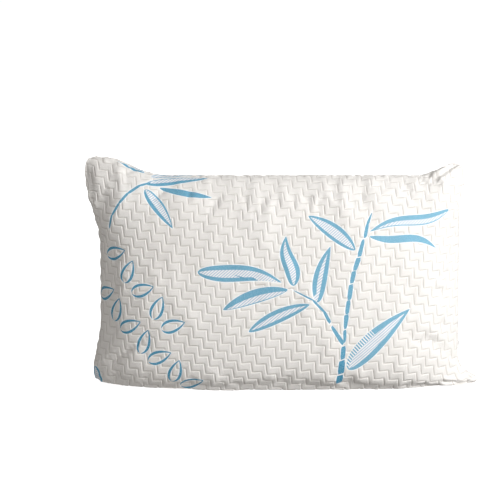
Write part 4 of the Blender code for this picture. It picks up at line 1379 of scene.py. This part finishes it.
class PILLOW_OT_label(bpy.types.Operator):
    """Build the blank care label on the back, along the height of the cover under it"""

    bl_idname = "pillow.label"
    bl_label = "Label"

    def execute(self, context):
        settings = context.scene.pillow_zip
        if 1 not in COVER_HEIGHTS:
            raise RuntimeError("The label lies on the cover, so the cover comes first")
        half = LABEL_WIDTH / (LEFT_REACH + RIGHT_REACH)
        rows, columns, spread = 49, 29, 4
        lowest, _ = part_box("care_label")
        column = np.linspace(-0.2, 0.99, 1500)
        line = skin(np.full_like(column, LABEL_AT), column, 1)
        end = np.interp(lowest[2] + 0.0015, line[:, 2], column)
        held = column > end
        run = np.append(0.0, np.cumsum(np.linalg.norm(np.diff(line[held], axis=0), axis=1)))
        v_line = np.interp(np.linspace(0.0, run[-1], rows), run, column[held])
        u_line = np.linspace(LABEL_AT - half, LABEL_AT + half, columns)
        u, v = np.meshgrid(u_line, v_line)
        shape = skin(u, v, 1)
        away = normals(shape, 1)
        share = np.linspace(1.0, 0.0, rows)[:, None]
        lift = 0.0026 * smooth(share / 0.12) - 0.0020 + 0.0022 * smooth((share - 0.5) / 0.5)
        lift = lift + 0.0007 * np.sin(5.0 * u / half) * share
        cover_u, cover_v, cover_height = COVER_HEIGHTS[1]
        near = slice(*np.searchsorted(cover_u, (u_line[0], u_line[-1])))
        ridge = np.interp(v_line, cover_v, cover_height[:, near].max(axis=1))
        window = 2 * spread + 1
        padded = np.pad(ridge, spread, mode="edge")
        ridge = np.max([padded[k:k + rows] for k in range(window)], axis=0)
        padded = np.pad(ridge, spread, mode="edge")
        lift = lift + np.convolve(padded, np.full(window, 1.0 / window), "valid")[:, None]
        lift = lift - 0.0004 * smooth((share - 0.90) / 0.03) * smooth((0.97 - share) / 0.03)
        width = np.ptp(shape[rows // 2, :, 0])
        down = np.broadcast_to(run[-1] * (1.0 - share), u.shape)
        fabric = np.stack([(u - LABEL_AT) / half * 0.5 * width, down], axis=-1)
        outer = shape + away * (lift + LABEL_THICK)[..., None]
        inner = shape + away * lift[..., None]
        label = two_sided("label", outer, inner, 1, fabric, fabric)
        dress(label, satin_material(settings), "pillow", "satin_label", "care_label")
        return {"FINISHED"}


# ---------------------------------------------------------------- the stage


# Each soft light: its place, what it faces, its size, its share of the key's power, and its colour.
LIGHTS = (
    ("key_light", (1.70, -1.30, 1.15), (0.05, 0.0, 0.2), 1.0, 1.0, (1.0, 0.995, 0.985)),
    ("top_light", (0.30, 0.20, 2.40), (0.0, 0.1, 0.0), 1.6, 0.18, (1.0, 1.0, 1.0)),
    ("low_light", (0.35, -2.30, 0.12), (0.05, 0.0, 0.1), 0.9, 0.19, (1.0, 0.99, 0.98)),
    ("left_light", (-1.60, -1.70, 0.04), (-0.25, 0.0, 0.08), 0.8, 0.19, (1.0, 0.99, 0.98)),
    ("back_light", (0.20, 2.70, 0.90), (0.0, 0.0, 0.2), 1.4, 0.66, (1.0, 0.99, 0.98)),
)
FLOOR_REACH, FLOOR_DROP, FLOOR_POINTS = 14.0, 0.0004, 9


class PILLOW_OT_stage(bpy.types.Operator):
    """Build the pale floor, the soft lights and the camera"""

    bl_idname = "pillow.stage"
    bl_label = "Stage"

    def execute(self, context):
        settings = context.scene.pillow_stage
        scene = context.scene
        scene.view_settings.view_transform = "Standard"
        line = np.linspace(-FLOOR_REACH, FLOOR_REACH, FLOOR_POINTS)
        x, y = np.meshgrid(line, line)
        points = np.stack([x, y, np.full_like(x, -FLOOR_DROP)], axis=-1).reshape(-1, 3)
        floor = fill_mesh("floor", points, [grid_quads(FLOOR_POINTS, FLOOR_POINTS)])
        material, tree, shader, place = new_material("pale_floor")
        spots = use_group(tree, mottle_group(), {"Vector": place, "Scale": 3.0})
        tree.links.new(blend_colour(tree, spots["Broad"], (0.93, 0.93, 0.93), (0.91, 0.91, 0.915)),
                       shader.inputs["Base Color"])
        set_shader(shader, Roughness=0.9, Emission_Color=(1.0, 1.0, 1.0, 1.0), Emission_Strength=0.80)
        floor.data.materials.append(material)
        floor.visible_diffuse = False
        self.world(scene, settings)
        for name, place, aim, size, share, colour in LIGHTS:
            self.light(name, place, aim, size, share * settings.key_power, colour)
        self.camera(scene, settings)
        return {"FINISHED"}

    def world(self, scene, settings):
        """An even surround that looks white to the camera and lights the pillow more softly."""
        world = bpy.data.worlds.new("studio")
        world.use_nodes = True
        tree = world.node_tree
        tree.nodes.clear()
        seen = add(tree, "ShaderNodeBackground", {"Color": (1.0, 1.0, 1.0, 1.0), "Strength": 1.0})
        lit = add(tree, "ShaderNodeBackground",
                  {"Color": (1.0, 0.955, 0.90, 1.0), "Strength": settings.fill_power})
        path = add(tree, "ShaderNodeLightPath")
        mixed = add(tree, "ShaderNodeMixShader",
                    {0: path.outputs["Is Camera Ray"], 1: lit.outputs[0], 2: seen.outputs[0]})
        add(tree, "ShaderNodeOutputWorld", {"Surface": mixed.outputs[0]})
        scene.world = world

    def light(self, name, place, aim, size, power, colour):
        """A square soft light that faces its aim."""
        data = bpy.data.lights.new(name, "AREA")
        data.energy, data.size, data.color = power, size, colour
        lamp = bpy.data.objects.new(name, data)
        lamp.location = place
        lamp.rotation_mode = "QUATERNION"
        lamp.rotation_quaternion = (Vector(aim) - Vector(place)).to_track_quat("-Z", "Y")
        bpy.context.scene.collection.objects.link(lamp)

    def camera(self, scene, settings):
        """A long lens that looks down at the elevation, and sees the field's width at its aim."""
        data = bpy.data.cameras.new("camera")
        data.sensor_width = 36.0
        data.lens = 36.0 * settings.distance / settings.field
        data.clip_end = 60.0
        camera = bpy.data.objects.new("camera", data)
        aim = Vector((settings.aim_side, 0.0, settings.aim_height))
        back = Vector((0.0, -math.cos(settings.elevation), math.sin(settings.elevation)))
        camera.location = aim + back * settings.distance
        camera.rotation_mode = "QUATERNION"
        camera.rotation_quaternion = (-back).to_track_quat("-Z", "Y")
        scene.collection.objects.link(camera)
        scene.camera = camera


# ---------------------------------------------------------------- sidebar and registration

STEPS = (("pillow.stage", "Stage"), ("pillow.foam", "Foam"), ("pillow.liner", "Liner"),
         ("pillow.cover", "Cover"), ("pillow.seams", "Seams"), ("pillow.zip", "Zip"),
         ("pillow.slider", "Slider and Tab"), ("pillow.label", "Label"))


class PILLOW_PT_sidebar(bpy.types.Panel):
    """Lists the pillow's pieces and their sizes and colours"""

    bl_idname = "PILLOW_PT_sidebar"
    bl_label = "Pillow"
    bl_space_type = "VIEW_3D"
    bl_region_type = "UI"
    bl_category = "Pillow"

    def draw(self, context):
        layout = self.layout
        for operator, label in STEPS:
            layout.operator(operator, text=label)
        for name in SETTINGS:
            box = layout.box()
            settings = getattr(context.scene, name)
            for key in settings.bl_rna.properties.keys():
                if key not in ("rna_type", "name"):
                    box.prop(settings, key)


SETTINGS = {
    "pillow_cover": PillowCoverSettings,
    "pillow_filling": PillowFillingSettings,
    "pillow_zip": PillowZipSettings,
    "pillow_stage": PillowStageSettings,
}
CLASSES = (PILLOW_OT_stage, PILLOW_OT_foam, PILLOW_OT_liner, PILLOW_OT_cover, PILLOW_OT_seams,
           PILLOW_OT_zip, PILLOW_OT_slider, PILLOW_OT_label, PILLOW_PT_sidebar)


def register():
    """Adds the settings, operators and panel to Blender."""
    for name, settings in SETTINGS.items():
        bpy.utils.register_class(settings)
        setattr(bpy.types.Scene, name, PointerProperty(type=settings))
    for each in CLASSES:
        bpy.utils.register_class(each)


def unregister():
    """Takes them out again, the operators and the panel first."""
    for each in reversed(CLASSES):
        bpy.utils.unregister_class(each)
    for name, settings in SETTINGS.items():
        delattr(bpy.types.Scene, name)
        bpy.utils.unregister_class(settings)


def main():
    """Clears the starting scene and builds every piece."""
    for piece in list(bpy.context.scene.objects):
        if piece.type in ("CAMERA", "LIGHT") or piece.name == "Cube":
            bpy.data.objects.remove(piece)
    register()
    for operator, _ in STEPS:
        family, name = operator.split(".")
        getattr(getattr(bpy.ops, family), name)()
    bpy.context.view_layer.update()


if __name__ == "__main__":
    main()
